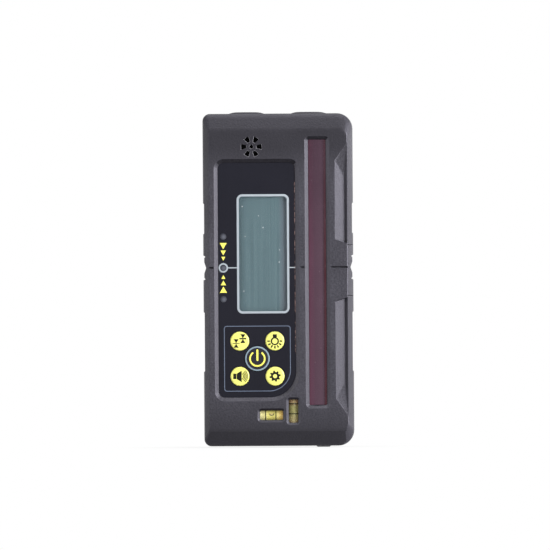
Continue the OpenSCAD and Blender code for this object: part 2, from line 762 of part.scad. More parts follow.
// One finger scoop above the middle of the body, from the bridge to its run-out.
// start_in and start_out are the heights where it leaves the bridge, above the body's middle
module scoop(start_in, start_out) {
    slope = scoop_floor_w / scoop_d;
    rise = scoop_wall_w / scoop_d;
    valley_x = scoop_x + scoop_floor_w;
    deepest = scoop_d + scoop_over;
    run = sqrt(scoop_end_r * scoop_end_r - pow(scoop_end_r - deepest, 2));
    reach = 2 * body_h;
    translate([0, 0, body_h / 2]) intersection() {
        linear_extrude(scoop_reach + 3 * scoop_floor_w) polygon([
            [scoop_x - slope * cut, y_front - cut],
            [valley_x, y_front + scoop_d],
            [rim_x + rise * cut, y_front - cut]
        ]);
        plate([[scoop_x - 2 * cut, start_in], [rim_x, start_out], [rim_x + cut, start_out],
            [rim_x + cut, reach], [scoop_x - 2 * cut, reach]], y_front - 2 * cut, y_front + 2 * scoop_d);
        translate([scoop_x, y_front, scoop_reach]) rotate([0, -scoop_slant, 0]) translate([0, 0, -run]) {
            translate([-reach / 2, deepest - scoop_end_r, 0]) rotate([0, 90, 0])
                cylinder(r = scoop_end_r, h = reach, $fn = 128);
            translate([-reach / 2, -2 * cut, -reach]) cube([reach, 3 * scoop_d, reach]);
        }
    }
}

module scoops() {
    middle = body_h / 2;
    scoop(bridge_z + bridge_half_in - middle, bridge_z + bridge_half_out - middle);
    translate([0, 0, body_h]) mirror([0, 0, 1])
        scoop(middle - bridge_z + bridge_half_in, middle - bridge_z + bridge_half_out);
}

// Fine seams across the right-hand bevel at both ends of the bridge
module bridge_seams() {
    way = unit([bevel_side, bevel_depth]);
    inward = bridge_seam * [-way.y, way.x];
    edge = body_w / 2;
    for (side = [-1, 1])
        translate([0, 0, bridge_z + side * (bridge_half_out - seam_inset) - bridge_seam / 2])
            linear_extrude(bridge_seam)
            polygon([[rim_x, y_front] + inward, [edge, y_front + bevel_depth] + inward,
                [edge + cut, y_front + bevel_depth], [edge + cut, y_front - cut], [rim_x, y_front - cut]]);
}

module index_groove() {
    floor_half = groove_w / 2 * groove_floor;
    mouth = groove_w / 2 + (groove_w / 2 - floor_half) * cut / groove_d;
    window_side = window_w / 2 + window_slope + groove_land;
    spans = [
        [-rim_x, panel_left - panel_slope - groove_land],
        [panel_right + panel_slope + groove_land, window_x - window_side],
        [window_x + window_side, rim_x]
    ];
    for (span = spans)
        translate([span[0], 0, index_z]) rotate([90, 0, 90]) linear_extrude(span[1] - span[0])
            polygon([[y_front - cut, mouth], [y_front + groove_d, floor_half],
                [y_front + groove_d, -floor_half], [y_front - cut, -mouth]]);
}

module grille_holes() {
    spread = 2 * grille_r;
    half = grille_angle / 2;
    depth = y_inner - y_front + 2 * cut;
    translate([grille_x, y_inner + cut, grille_z]) rotate([90, 0, 0]) linear_extrude(depth) {
        circle(grille_hole_r);
        for (i = [0 : grille_slots - 1]) rotate(360 * i / grille_slots) intersection() {
            difference() {
                circle(grille_r);
                circle(grille_inner_r);
            }
            polygon([[0, 0], spread * [cos(half), -sin(half)], spread * [cos(half), sin(half)]]);
        }
    }
}

// Pocket of a vial in the front wall, with its window. The vial lies along X
module vial_pocket() {
    inner = centred_outline(0, 0, vial_slot_l, vial_slot_w, vial_corner);
    outer = centred_outline(0, 0, vial_slot_l + 2 * vial_slope, vial_slot_w + 2 * vial_slope,
        vial_corner + vial_slope);
    pocket_r = vial_r + 2 * fit_gap;
    pocket_l = vial_l + 4 * fit_gap;
    sloped_recess(inner, outer, vial_slope_d, y_vial);
    rod_x(y_vial, 0, pocket_r, -pocket_l / 2, pocket_l / 2);
    box(-pocket_l / 2, pocket_l / 2, y_vial, y_inner + cut, -pocket_r, pocket_r);
}

module place_level() {
    translate([level_x, 0, level_z]) children();
}

module place_plumb() {
    translate([plumb_x, 0, plumb_z]) rotate([0, -90, 0]) children();
}

module front_housing() color(housing_grey) difference() {
    union() {
        intersection() {
            housing_form();
            difference() {
                box(-body_w, body_w, y_front - cut, y_split, -cut, body_h + cut);
                plate(inset_outline(wall), y_inner, y_rim);
                plate(inset_outline(rim_w), (y_inner + y_rim) / 2, y_split + cut);
            }
        }
        for (p = screw_places) rod_y(p.x, p.y, boss_r, y_inner - cut, y_split);
        for (p = board_posts) rod_y(p.x, p.y, post_r, y_inner - cut, y_board);
    }
    sloped_recess(panel_outline(2 * fit_gap), panel_outline(panel_slope), panel_sink, y_floor);
    plate(display_outline(fit_gap), y_panel, y_panel + display_t);
    plate(display_outline(-display_ledge), y_panel, y_inner + cut);
    for (i = [0 : len(key_places) - 1])
        rod_y(key_places[i].x, key_places[i].y, key_radii[i] + key_gap, y_panel, y_inner + cut);
    for (z = lamp_heights) rod_y(lamp_x, z, lamp_r + fit_gap, y_panel, y_inner + cut);
    sloped_recess(window_outline(0), window_outline(window_slope), window_sink + window_crown, y_inner + cut);
    place_level() vial_pocket();
    place_plumb() vial_pocket();
    grille_holes();
    scoops();
    bridge_seams();
    index_groove();
    side_cuts();
    for (p = screw_places) rod_y(p.x, p.y, screw_r + fit_gap, y_inner + 2 * fit_gap, y_split + cut);
    for (p = board_posts) rod_y(p.x, p.y, board_screw_r + fit_gap, y_inner, y_board + cut);
}

// Channel of the housing seal in the rear shell's rim
module seal_ring(gap, y0, y1) {
    middle = (wall + rim_w) / 2;
    difference() {
        plate(inset_outline(middle - seal_w / 2 - gap), y0, y1);
        plate(inset_outline(middle + seal_w / 2 + gap), y0 - cut, y1 + cut);
    }
}

module rear_housing() color(housing_grey) difference() {
    union() {
        intersection() {
            housing_form();
            union() {
                difference() {
                    box(-body_w, body_w, y_split, y_back + cut, -cut, body_h + cut);
                    plate(inset_outline(wall), y_split + rim_d, y_back - wall);
                    plate(inset_outline(rim_w), y_split - cut, y_split + rim_d + cut);
                }
                box(door_x - tub_half - tub_wall, body_w / 2, y_tub - tub_wall, y_back,
                    0, tub_high + tub_wall);
                box(door_x - tub_half - tub_wall, body_w / 2,
                    y_hinge - hinge_r - hinge_gap - tub_wall, y_back, tub_high, hinge_block_top);
            }
        }
        plate(centred_outline(0, index_z, pad_w, pad_h, pad_r), y_back - cut, y_pad);
        rod_y(0, index_z, insert_r + insert_wall, y_pad - insert_l - insert_wall, y_back - cut);
        for (p = screw_places) rod_y(p.x, p.y, boss_r, y_split, y_back - cut);
    }
    side_cuts();
    seal_ring(fit_gap, y_split - cut, y_split + seal_h);
    for (p = screw_places) {
        rod_y(p.x, p.y, screw_r + 2 * fit_gap, y_split - cut, y_back);
        rod_y(p.x, p.y, screw_head_r + 2 * fit_gap, y_back - screw_sink, y_back + cut);
    }
    for (x = magnet_places) translate([x, magnet_y, body_h - cup_d - fit_gap])
        cylinder(r = cup_r + fit_gap, h = cup_d + fit_gap + cut);
    rod_y(0, index_z, insert_r + fit_gap, y_pad - insert_l, y_pad + cut);
    door_bed();
    latch_room();
}

// Seat of the door, its hinge and the compartment under it
module door_bed() {
    half = door_half + door_gap;
    difference() {
        plate(door_outline(door_gap, hinge_z), y_ledge, y_back + cut);
        for (side = [-1, 1]) translate([door_x + side * (half - lug_l / 2), 0, 0])
            rod_x(y_hinge, hinge_z, hinge_r, -lug_l / 2 - fit_gap, lug_l / 2 + fit_gap);
    }
    rod_x(y_hinge, hinge_z, hinge_r + hinge_gap, door_x - half + lug_l, door_x + half - lug_l);
    box(door_x - half + lug_l, door_x + half - lug_l, y_hinge, y_back + cut, hinge_z - cut,
        hinge_z + hinge_r + hinge_gap);
    rod_x(y_hinge, hinge_z, hinge_pin_r + fit_gap / 2, door_x - half, door_x + half);
    box(door_x - tub_half, door_x + tub_half, y_tub, y_back, tub_low, tub_high);
}

// Room that the latch slides in, with the slot for its lip and its way to the door
module latch_room() {
    half = latch_w / 2 + latch_gap;
    slot_half = lip_w / 2 + latch_gap;
    box(door_x - half, door_x + half, y_room_front, y_ledge + fit_gap, wall, wall + latch_room_h);
    box(door_x - slot_half, door_x + slot_half, y_lip_back - lip_d - latch_travel - latch_gap,
        y_lip_back + latch_gap, -cut, wall + cut);
}

module housing_seal() color(rubber_black) seal_ring(0, y_split + fit_gap, y_split + seal_h);

// Screw along Y with its head at the back. y_seat is the plane under its head
module screw(p, r, head_r, head_h, y_tip, y_seat) {
    rod_y(p.x, p.y, r, y_tip, y_seat);
    difference() {
        rod_y(p.x, p.y, head_r, y_seat, y_seat + head_h);
        for (turn = [0, 90]) translate([p.x, y_seat + head_h, p.y]) rotate([0, turn, 0])
            cube([head_r * cross_l, head_h, head_r * cross_w], center = true);
    }
}

module housing_screws() color(steel) for (p = screw_places)
    screw(p, screw_r, screw_head_r, screw_head_h, y_inner + screw_tip, y_back - screw_sink);

// Domed cap over a magnet, with the cup that holds it
module magnet_caps() color(housing_grey) for (x = magnet_places) translate([x, magnet_y, body_h])
    rotate_extrude() polygon(concat(
        [[0, -fit_gap], [0, cap_proud], [cap_top_r, cap_proud]],
        [for (i = [1 : 6]) let (s = i / 6) [cap_top_r + (cap_r - cap_top_r) * s, cap_proud * (1 - s * s)]],
        [[cup_r, 0], [cup_r, -cup_d], [cup_r - cup_wall, -cup_d], [cup_r - cup_wall, -fit_gap]]));

module top_magnets() color(steel) for (x = magnet_places)
    translate([x, magnet_y, body_h - cup_d])
        cylinder(r = cup_r - cup_wall - fit_gap, h = cup_d - 2 * fit_gap);

module control_panel() color(panel_black) difference() {
    plate(panel_outline(0), y_panel, y_floor);
    plate(display_outline(fit_gap), y_panel - cut, y_floor + cut);
    for (i = [0 : len(key_places) - 1])
        rod_y(key_places[i].x, key_places[i].y, key_radii[i] + key_gap, y_panel - cut, y_floor + cut);
    for (z = lamp_heights) rod_y(lamp_x, z, lamp_r + fit_gap, y_panel - cut, y_floor + cut);
}

module display_window() color(clear_plastic)
    plate(display_outline(0), y_panel, y_panel + display_t - fit_gap);

module display_glass() color([0.43, 0.5, 0.5])
    plate(centred_outline(display_x, display_z, glass_w, glass_h, small_corner), y_inner + fit_gap,
        y_inner + fit_gap + glass_t);

module display_backlight() color([0.92, 0.94, 0.9]) {
    light_h = glass_h - 2 * contact_strip_h - 4 * fit_gap;
    plate(centred_outline(display_x, display_z, glass_w, light_h, small_corner),
        y_inner + glass_t + 2 * fit_gap, y_board - fit_gap);
}

module display_contact_strips() color([0.85, 0.6, 0.65])
    for (side = [-1, 1]) translate([0, 0, display_z + side * (glass_h - contact_strip_h) / 2])
        box(display_x - opening_w / 2 - post_edge, display_x + opening_w / 2 + post_edge,
            y_inner + glass_t + 2 * fit_gap, y_board - fit_gap, -contact_strip_h / 2, contact_strip_h / 2);

// A key with a crowned face and rounded edge, and the flange that keeps it behind the wall
module key(index) {
    r = key_radii[index];
    base = -panel_t - wall - fit_gap;
    edge = [for (i = [0 : 4]) let (a = 90 * i / 4)
        [r - key_edge_r + key_edge_r * cos(a), key_proud - key_edge_r - key_crown + key_edge_r * sin(a)]];
    face = [for (i = [1 : 5]) let (s = 1 - i / 5)
        [(r - key_edge_r) * s, key_proud - key_crown * s * s]];
    translate([key_places[index].x, y_panel, key_places[index].y]) rotate([90, 0, 0]) rotate_extrude()
        polygon(concat([[0, base - key_flange_t], [r + key_flange, base - key_flange_t],
            [r + key_flange, base], [r, base]], edge, face));
}

module power_key() color(panel_black) key(0);
module accuracy_key() color(key_yellow) key(1);
module backlight_key() color(key_yellow) key(2);
module sound_key() color(key_yellow) key(3);
module set_key() color(key_yellow) key(4);

module key_switches() color([0.2, 0.2, 0.2]) for (p = key_places) {
    body_top = y_board - switch_h * switch_body;
    box(p.x - switch_w / 2, p.x + switch_w / 2, body_top, y_board, p.y - switch_w / 2, p.y + switch_w / 2);
    rod_y(p.x, p.y, switch_w * switch_plunger, y_board - switch_h, y_board - switch_h / 2);
}

// Light guides from the lamps to the panel, with a low dome and a flange behind the wall
module lamp_lenses() color([0.5, 0.5, 0.52]) for (z = lamp_heights) {
    seat = -panel_t - wall - fit_gap;
    base = seat - lens_flange_t;
    dome = [for (i = [0 : 5]) let (s = 1 - i / 5) [lamp_r * s, lamp_proud * (1 - s * s)]];
    translate([lamp_x, y_panel, z]) rotate([90, 0, 0]) rotate_extrude() polygon(concat(
        [[0, base], [lens_r, base], [lens_r, seat], [lamp_r, seat]], dome));
}

module grade_lamps() color([0.9, 0.9, 0.85]) for (z = lamp_heights)
    box(lamp_x - lamp_w / 2, lamp_x + lamp_w / 2, y_board - lamp_h, y_board,
        z - lamp_depth / 2, z + lamp_depth / 2);

// Board behind the panel, with square notches round the housing's bosses
module main_board() color(board_green) difference() {
    notch = boss_r + board_margin;
    box(board_left, board_right, y_board, y_board_back, board_low, board_high);
    for (p = screw_places)
        box(p.x - notch, p.x + notch, y_board - cut, y_board_back + cut, p.y - notch, p.y + notch);
    for (p = main_posts) rod_y(p.x, p.y, board_screw_r + fit_gap, y_board - cut, y_board_back + cut);
}

module sensor_board() color(board_green) difference() {
    box(window_x - sensor_board_w / 2, window_x + sensor_board_w / 2, y_board, y_board_back, sensor_low,
        sensor_high);
    for (p = sensor_posts) rod_y(p.x, p.y, board_screw_r + fit_gap, y_board - cut, y_board_back + cut);
}

module board_screws() color(steel) for (p = board_posts)
    screw(p, board_screw_r, board_screw_head_r, board_screw_head_h, y_board - board_screw_l, y_board_back);

// Connector that bridges the two boards behind them
module board_link() color(rubber_black) {
    middle = board_right + board_split / 2;
    box(middle - link_w / 2, middle + link_w / 2, y_board_back, y_board_back + link_t, index_z - link_h / 2,
        index_z + link_h / 2);
}

// Window with a crowned face, bonded by its flange to the back of the wall
module receiving_window() color(window_red) {
    half = window_w / 2 - fit_gap;
    crown_r = (half * half + window_crown * window_crown) / (2 * window_crown);
    y_face = y_front + window_sink;
    intersection() {
        plate(window_outline(-fit_gap), y_face - cut, y_inner + fit_gap);
        translate([window_x, y_face + crown_r, window_z]) cylinder(r = crown_r, h = window_h, $fn = 128);
    }
    box(window_x - half - window_flange, window_x + half + window_flange, y_inner + fit_gap,
        y_inner + fit_gap + window_flange_t, window_z - window_flange, window_z + window_h + window_flange);
}

module photodiodes() color([0.15, 0.15, 0.2]) {
    pitch = window_h / diode_count;
    for (i = [0 : diode_count - 1]) translate([window_x, 0, window_z + pitch * (i + 0.5)])
        box(-diode_w / 2, diode_w / 2, y_board - diode_t, y_board, -diode_h / 2, diode_h / 2);
}

module buzzer_membrane() color(rubber_black)
    rod_y(grille_x, grille_z, buzzer_r + membrane_rim, y_inner, y_inner + membrane_t);

module buzzer() color([0.15, 0.15, 0.15]) difference() {
    rod_y(grille_x, grille_z, buzzer_r, y_inner + membrane_t, y_board);
    rod_y(grille_x, grille_z, grille_hole_r, y_inner, y_inner + membrane_t + buzzer_mouth);
}

// Clear barrel of a vial along X, closed at both ends
module vial() {
    half = vial_l / 2;
    bore_half = half - vial_end * vial_wall;
    difference() {
        rod_x(y_vial, 0, vial_r, -half, half);
        rod_x(y_vial, 0, vial_r - vial_wall, -bore_half, bore_half);
    }
}

// Fluid of a vial along X, with the space of its bubble. The bubble floats to the side or end given
module vial_fluid(along, across) {
    half = vial_l / 2 - vial_end * vial_wall - fit_gap;
    fluid_r = vial_r - vial_wall - fit_gap;
    difference() {
        rod_x(y_vial, 0, fluid_r, -half, half);
        translate([along, 0, across]) {
            rod_x(y_vial, 0, bubble_r, -bubble_l / 2, bubble_l / 2);
            for (side = [-1, 1]) translate([side * bubble_l / 2, y_vial, 0]) sphere(bubble_r);
        }
    }
}

module horizontal_vial() color(clear_plastic) place_level() vial();
module horizontal_vial_fluid() color([0.8, 0.85, 0.2]) place_level() vial_fluid(0, bubble_rise);
module vertical_vial() color(clear_plastic) place_plumb() vial();
module vertical_vial_fluid() color([0.8, 0.85, 0.2]) place_plumb() vial_fluid(bubble_end, 0);

// Bracket with a half-round cradle for each vial
module vial_bracket() color([0.93, 0.93, 0.9]) difference() {
    box(bracket_left, bracket_right, y_inner + fit_gap, y_board - fit_gap, bracket_low, bracket_high);
    cradle_r = vial_r + fit_gap;
    cradle_half = vial_l / 2 + fit_gap;
    place_level() {
        rod_x(y_vial, 0, cradle_r, -cradle_half, cradle_half);
        box(-cradle_half, cradle_half, y_vial - cradle_r, y_vial, -cradle_r, cradle_r);
    }
    place_plumb() {
        rod_x(y_vial, 0, cradle_r, -cradle_half, cradle_half);
        box(-cradle_half, cradle_half, y_vial - cradle_r, y_vial, -cradle_r, cradle_r);
    }
    for (p = screw_places) rod_y(p.x, p.y, boss_r + board_margin, y_inner - cut, y_board + cut);
}

module battery_door() color(housing_grey) difference() {
    union() {
        plate(door_outline(0, door_top), y_door, y_back);
        box(door_x - barrel_half, door_x + barrel_half, y_door, y_back, door_top - cut, hinge_z);
        rod_x(y_hinge, hinge_z, hinge_r, door_x - barrel_half, door_x + barrel_half);
    }
    rod_x(y_hinge, hinge_z, hinge_pin_r + hinge_gap / 2,
        door_x - barrel_half - cut, door_x + barrel_half + cut);
    box(door_x - nose_w / 2 - latch_gap, door_x + nose_w / 2 + latch_gap, y_door - cut,
        y_door + nose_bite + latch_gap, nose_z - latch_gap, nose_z + nose_h + latch_gap);
}

module door_seal() color(rubber_black) {
    inside = (ledge_w - door_gap - door_seal_w) / 2;
    outside = inside + door_seal_w;
    difference() {
        box(door_x - tub_half - outside, door_x + tub_half + outside, y_door - door_seal_t, y_door,
            tub_low - outside, tub_high + outside);
        box(door_x - tub_half - inside, door_x + tub_half + inside, y_door - door_seal_t - cut, y_door + cut,
            tub_low - inside, tub_high + inside);
    }
}

module door_hinge_pin() color(steel)
    rod_x(y_hinge, hinge_z, hinge_pin_r, door_x - door_half, door_x + door_half);

// Sliding latch: a block with a nose that holds the door and a lip that a thumb pushes forwards
module door_latch() color(housing_grey) {
    low = wall + latch_gap;
    box(door_x - latch_w / 2, door_x + latch_w / 2, y_latch_front, y_latch_back, low, low + latch_h);
    box(door_x - nose_w / 2, door_x + nose_w / 2, y_latch_back - cut, y_latch_back + nose_l, nose_z,
        nose_z + nose_h);
    translate([door_x, 0, 0]) plate([[-lip_w / 2, low + cut], [-lip_w / 2, 0], [-lip_tip_w / 2, -lip_reach],
        [lip_tip_w / 2, -lip_reach], [lip_w / 2, 0], [lip_w / 2, low + cut]], y_lip_back - lip_d, y_lip_back);
}

module latch_spring() color(steel) {
    straight = 2 * latch_wire_r;
    path = coil_path(latch_coil_r, latch_coil_r, latch_coil_l - 2 * straight, latch_turns);
    echo(latch_spring_clearance = coil_clearance(path, latch_wire_r));
    translate([door_x, y_latch_front - straight, nose_z]) rotate([90, 0, 0]) wire(path, latch_wire_r);
}

// Cell along Z with its raised terminal up
module cell() {
    cylinder(r = cell_r, h = cell_l - terminal_h);
    cylinder(r = terminal_r, h = cell_l);
}

module battery_cell_left() color([0.2, 0.22, 0.25])
    translate([cell_places[0], y_cell, tub_low + contact_t + coil_h + fit_gap]) cell();

module battery_cell_right() color([0.2, 0.22, 0.25])
    translate([cell_places[1], y_cell, tub_high - contact_t - coil_h - fit_gap]) mirror([0, 0, 1]) cell();

module battery_springs() color(steel) {
    height = coil_h - 2 * coil_wire_r - 2 * fit_gap;
    path = coil_path(coil_r, coil_top_r, height, coil_turns);
    echo(battery_spring_clearance = coil_clearance(path, coil_wire_r));
    translate([cell_places[0], y_cell, tub_low + contact_t + coil_wire_r + fit_gap]) wire(path, coil_wire_r);
    translate([cell_places[1], y_cell, tub_high - contact_t - coil_wire_r - fit_gap]) mirror([0, 0, 1])
        wire(path, coil_wire_r);
}

// Plates at both ends: one that bridges the cells below, and one for each cell above
module battery_contacts() color(steel) {
    y0 = y_tub + fit_gap;
    y1 = y_cell + coil_r + contact_rim;
    box(door_x - tub_half + fit_gap, door_x + tub_half - fit_gap, y0, y1,
        tub_low + fit_gap, tub_low + contact_t);
    for (x = cell_places) translate([x, 0, 0])
        box(-coil_r - contact_rim, coil_r + contact_rim, y0, y1, tub_high - contact_t, tub_high - fit_gap);
}

// Brass insert with the clamp thread, flush with the clamp pad
module clamp_insert() color(brass) difference() {
    rod_y(0, index_z, insert_r, y_pad - insert_l + fit_gap, y_pad);
    rod_y(0, index_z, thread_r, y_pad - thread_l, y_pad + cut);
}

// Lifts a piece by the reach of the latch lip, so that the lowest point of the receiver is at zero
module lifted() {
    translate([0, 0, lip_reach]) children();
}

lifted() front_housing();
lifted() rear_housing();
lifted() housing_seal();
lifted() housing_screws();
lifted() magnet_caps();
lifted() top_magnets();
lifted() control_panel();
lifted() display_window();
lifted() display_glass();
lifted() display_backlight();
lifted() display_contact_strips();
lifted() power_key();
lifted() accuracy_key();
lifted() backlight_key();
lifted() sound_key();
lifted() set_key();
lifted() key_switches();
lifted() lamp_lenses();
lifted() grade_lamps();
lifted() main_board();
lifted() board_screws();
lifted() board_link();
lifted() receiving_window();
lifted() sensor_board();
lifted() photodiodes();
lifted() buzzer();
lifted() buzzer_membrane();
lifted() horizontal_vial();
lifted() horizontal_vial_fluid();
lifted() vertical_vial();
lifted() vertical_vial_fluid();
lifted() vial_bracket();
lifted() battery_door();
lifted() door_seal();
lifted() door_hinge_pin();
lifted() door_latch();
lifted() latch_spring();
lifted() battery_cell_left();
lifted() battery_cell_right();
lifted() battery_springs();
lifted() battery_contacts();
lifted() clamp_insert();
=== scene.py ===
# %% [markdown]
# # A laser receiver, dressed in Blender
# A laser receiver is the hand-held box that finds the beam of a rotating laser on a building site.
# Its solid parts come from the CAD model as a fixed frame, each at its real size and place.
# This lesson adds what the solids leave out: soft moulding edges, printed marks, finishes and light.

# %% Load the solid parts
import json
import math

import bmesh
import bpy
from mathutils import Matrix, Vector

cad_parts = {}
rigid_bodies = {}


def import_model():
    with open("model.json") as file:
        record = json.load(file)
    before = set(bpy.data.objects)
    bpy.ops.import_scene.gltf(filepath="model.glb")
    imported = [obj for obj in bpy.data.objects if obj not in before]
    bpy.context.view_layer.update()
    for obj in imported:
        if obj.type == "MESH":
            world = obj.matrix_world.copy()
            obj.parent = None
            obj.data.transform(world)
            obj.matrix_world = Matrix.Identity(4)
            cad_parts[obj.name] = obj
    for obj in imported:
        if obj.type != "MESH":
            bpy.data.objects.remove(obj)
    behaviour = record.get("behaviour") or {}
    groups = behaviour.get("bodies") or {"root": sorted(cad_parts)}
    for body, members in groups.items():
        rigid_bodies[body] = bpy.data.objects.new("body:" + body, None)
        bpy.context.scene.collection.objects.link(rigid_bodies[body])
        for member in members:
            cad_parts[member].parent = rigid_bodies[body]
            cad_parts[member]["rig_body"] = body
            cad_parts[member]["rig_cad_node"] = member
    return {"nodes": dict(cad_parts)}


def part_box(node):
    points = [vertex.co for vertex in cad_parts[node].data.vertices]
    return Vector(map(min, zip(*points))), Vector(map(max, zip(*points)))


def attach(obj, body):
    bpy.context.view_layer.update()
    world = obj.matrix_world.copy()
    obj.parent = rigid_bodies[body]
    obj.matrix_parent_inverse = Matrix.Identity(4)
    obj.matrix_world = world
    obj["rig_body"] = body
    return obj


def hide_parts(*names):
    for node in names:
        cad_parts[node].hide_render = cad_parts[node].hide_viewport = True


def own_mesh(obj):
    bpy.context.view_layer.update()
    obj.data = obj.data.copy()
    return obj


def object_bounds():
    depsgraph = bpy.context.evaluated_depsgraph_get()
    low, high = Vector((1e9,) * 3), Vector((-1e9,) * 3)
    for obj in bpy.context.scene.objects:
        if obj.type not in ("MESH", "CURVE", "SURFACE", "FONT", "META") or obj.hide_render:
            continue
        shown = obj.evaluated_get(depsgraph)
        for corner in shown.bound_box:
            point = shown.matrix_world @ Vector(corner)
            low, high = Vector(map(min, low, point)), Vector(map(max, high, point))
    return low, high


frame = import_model()
nodes = frame["nodes"]
cad_low, cad_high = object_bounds()
MM = 0.001


def middle_of(box):
    """The middle of a box, from its two corners"""
    return [(a + b) / 2 for a, b in zip(*box)]


# %% [markdown]
# ## Camera
# The receiver is seen squarely from the front, from far away through a very long lens, so that nothing of
# its sides shows and the low caps on its top still do.
# The width of the view is fixed at the front face, and the distance then gives the lens.
# A hand-held picture is never quite upright, so the camera is rolled by a third of a degree.

# %% Place the camera
VIEW_WIDTH = 278.75 * MM
VIEW_DISTANCE = 8.0
FACE_Y = -15 * MM
AIM = Vector((-1.71 * MM, FACE_Y, 87.43 * MM))
ROLL = math.radians(0.37)


def select_none():
    """Starts a new piece with nothing selected"""
    bpy.ops.object.select_all(action="DESELECT")


select_none()
bpy.ops.object.camera_add(
    location=AIM - Vector((0, VIEW_DISTANCE, 0)), rotation=(math.pi / 2, ROLL, 0)
)
camera = bpy.context.object
camera.data.sensor_width = 36
camera.data.lens = camera.data.sensor_width * VIEW_DISTANCE / VIEW_WIDTH
bpy.context.scene.camera = camera
print("lens:", round(camera.data.lens, 1), "mm")

# %% [markdown]
# ## Studio
# A white table and a white room give the plain background. The camera, mirrors and clear pieces see
# the room as white, while the room lights the object more softly, so shapes keep their shade.
# The table shows a share of its own shading, which keeps the object's shadow on it.

# %% Make the room and the table
ROOM_LIGHT = 0.26
SHADOW_SHARE = 0.25
SHADOW_REACH = 0.09
TABLE_SIZE = 8

scene = bpy.context.scene
scene.view_settings.view_transform = "Standard"
room = bpy.data.worlds.new("white_room")
scene.world = room
room.use_nodes = True


def feed(node, label, value):
    """Links one of a node's inputs to a socket, or sets it to a number or a colour"""
    if isinstance(value, bpy.types.NodeSocket):
        node.id_data.links.new(value, node.inputs[label])
    else:
        node.inputs[label].default_value = value


def add(tree, kind, inputs, **settings):
    """A new shader node with its settings and inputs"""
    node = tree.nodes.new(kind)
    for label, setting in settings.items():
        setattr(node, label, setting)
    for label, value in inputs.items():
        feed(node, label, value)
    return node


def sum_up(tree, operation, a, b):
    """A math node on two sockets or numbers"""
    return add(tree, "ShaderNodeMath", {0: a, 1: b}, operation=operation).outputs[0]


def spread(tree, value, low, high, start=0.0, stop=1.0):
    """A value moved from one range to another"""
    ranges = {"From Min": start, "From Max": stop, "To Min": low, "To Max": high}
    return add(tree, "ShaderNodeMapRange", {"Value": value, **ranges}).outputs[0]


def seen_directly(tree):
    """One where the room is seen by the camera, in a reflection or through a clear piece"""
    path = tree.nodes.new("ShaderNodeLightPath").outputs
    either = sum_up(tree, "MAXIMUM", path["Is Camera Ray"], path["Is Glossy Ray"])
    return sum_up(tree, "MAXIMUM", either, path["Is Transmission Ray"])


tree = room.node_tree
sky = tree.nodes["Background"]
feed(sky, "Color", (1, 1, 1, 1))
feed(sky, "Strength", spread(tree, seen_directly(tree), ROOM_LIGHT, 1))

select_none()
bpy.ops.mesh.primitive_plane_add(size=TABLE_SIZE)
table = bpy.context.object
table.name = "table"
table_white = bpy.data.materials.new("table_white")
table_white.use_nodes = True
tree = table_white.node_tree
paint = tree.nodes["Principled BSDF"]
feed(paint, "Base Color", (0.8, 0.8, 0.8, 1))
feed(paint, "Roughness", 0.9)
feed(paint, "Specular IOR Level", 0)
glow = tree.nodes.new("ShaderNodeEmission")
place = tree.nodes.new("ShaderNodeTexCoord").outputs["Object"]
spacing = add(tree, "ShaderNodeVectorMath", {0: place}, operation="LENGTH")
share = spread(tree, spacing.outputs["Value"], 1 - SHADOW_SHARE, 1, 0, SHADOW_REACH)
mix = add(tree, "ShaderNodeMixShader", {
    0: sum_up(tree, "MULTIPLY", seen_directly(tree), share), 1: paint.outputs[0], 2: glow.outputs[0]})
feed(tree.nodes["Material Output"], "Surface", mix.outputs[0])
table.data.materials.append(table_white)
print("room light:", ROOM_LIGHT)

# %% [markdown]
# ## Soft light
# The slopes of the moulding that face right are far brighter than the flat face. That comes from tall
# soft boxes on the right, which the satin plastic reflects only where it leans towards them.
# Weaker boxes behind, on the left and above fill in the rest.

# %% Set up the soft boxes
BOX_DISTANCE = 1.0


def softbox(name, right, up, width, height, power):
    """An area lamp, by its angle to the right of the camera and above the horizon"""
    a, e = math.radians(right), math.radians(up)
    away = Vector((math.sin(a) * math.cos(e), -math.cos(a) * math.cos(e), math.sin(e)))
    select_none()
    bpy.ops.object.light_add(type="AREA", location=AIM + away * BOX_DISTANCE)
    lamp = bpy.context.object
    lamp.name = name
    lamp.rotation_euler = away.to_track_quat("Z", "Y").to_euler()
    lamp.data.shape = "RECTANGLE"
    lamp.data.size, lamp.data.size_y = width, height
    lamp.data.energy = power


softbox("right_box", 53, 4, 0.5, 0.9, 19.4)
softbox("side_box", 70, 8, 0.45, 0.9, 4.6)
softbox("back_box", 116, 8, 0.45, 0.9, 3.5)
softbox("left_box", -70, 8, 0.45, 0.9, 1.6)
softbox("top_box", 10, 62, 1.0, 0.4, 1.2)
softbox("ceiling_box", 0, 84, 1.0, 0.5, 4.6)

# %% [markdown]
# ## Effects that several finishes share
# Moulded plastic, rubber and film all have a fine grain, and all get rubbed and dusty. One more
# effect is painted shade, which darkens the housing towards its top and bottom ends.
# Each such effect is made once as a node group, with its sizes in millimetres as inputs, so that
# every finish can use it with its own values. The groups only put out values that vary.

# %% Build the shared effects
def effect(name, inputs, outputs):
    """An empty shader group with a vector input, the named value inputs and the named outputs"""
    group = bpy.data.node_groups.new(name, "ShaderNodeTree")
    group.interface.new_socket("Vector", in_out="INPUT", socket_type="NodeSocketVector")
    for label, value in inputs.items():
        made = group.interface.new_socket(label, in_out="INPUT", socket_type="NodeSocketFloat")
        made.default_value = value
    for label in outputs:
        group.interface.new_socket(label, in_out="OUTPUT", socket_type="NodeSocketFloat")
    return group, group.nodes.new("NodeGroupInput").outputs, group.nodes.new("NodeGroupOutput").inputs


def parts_of(tree, vector):
    """The three numbers of a vector, by the names of their axes"""
    return add(tree, "ShaderNodeSeparateXYZ", {0: vector}).outputs


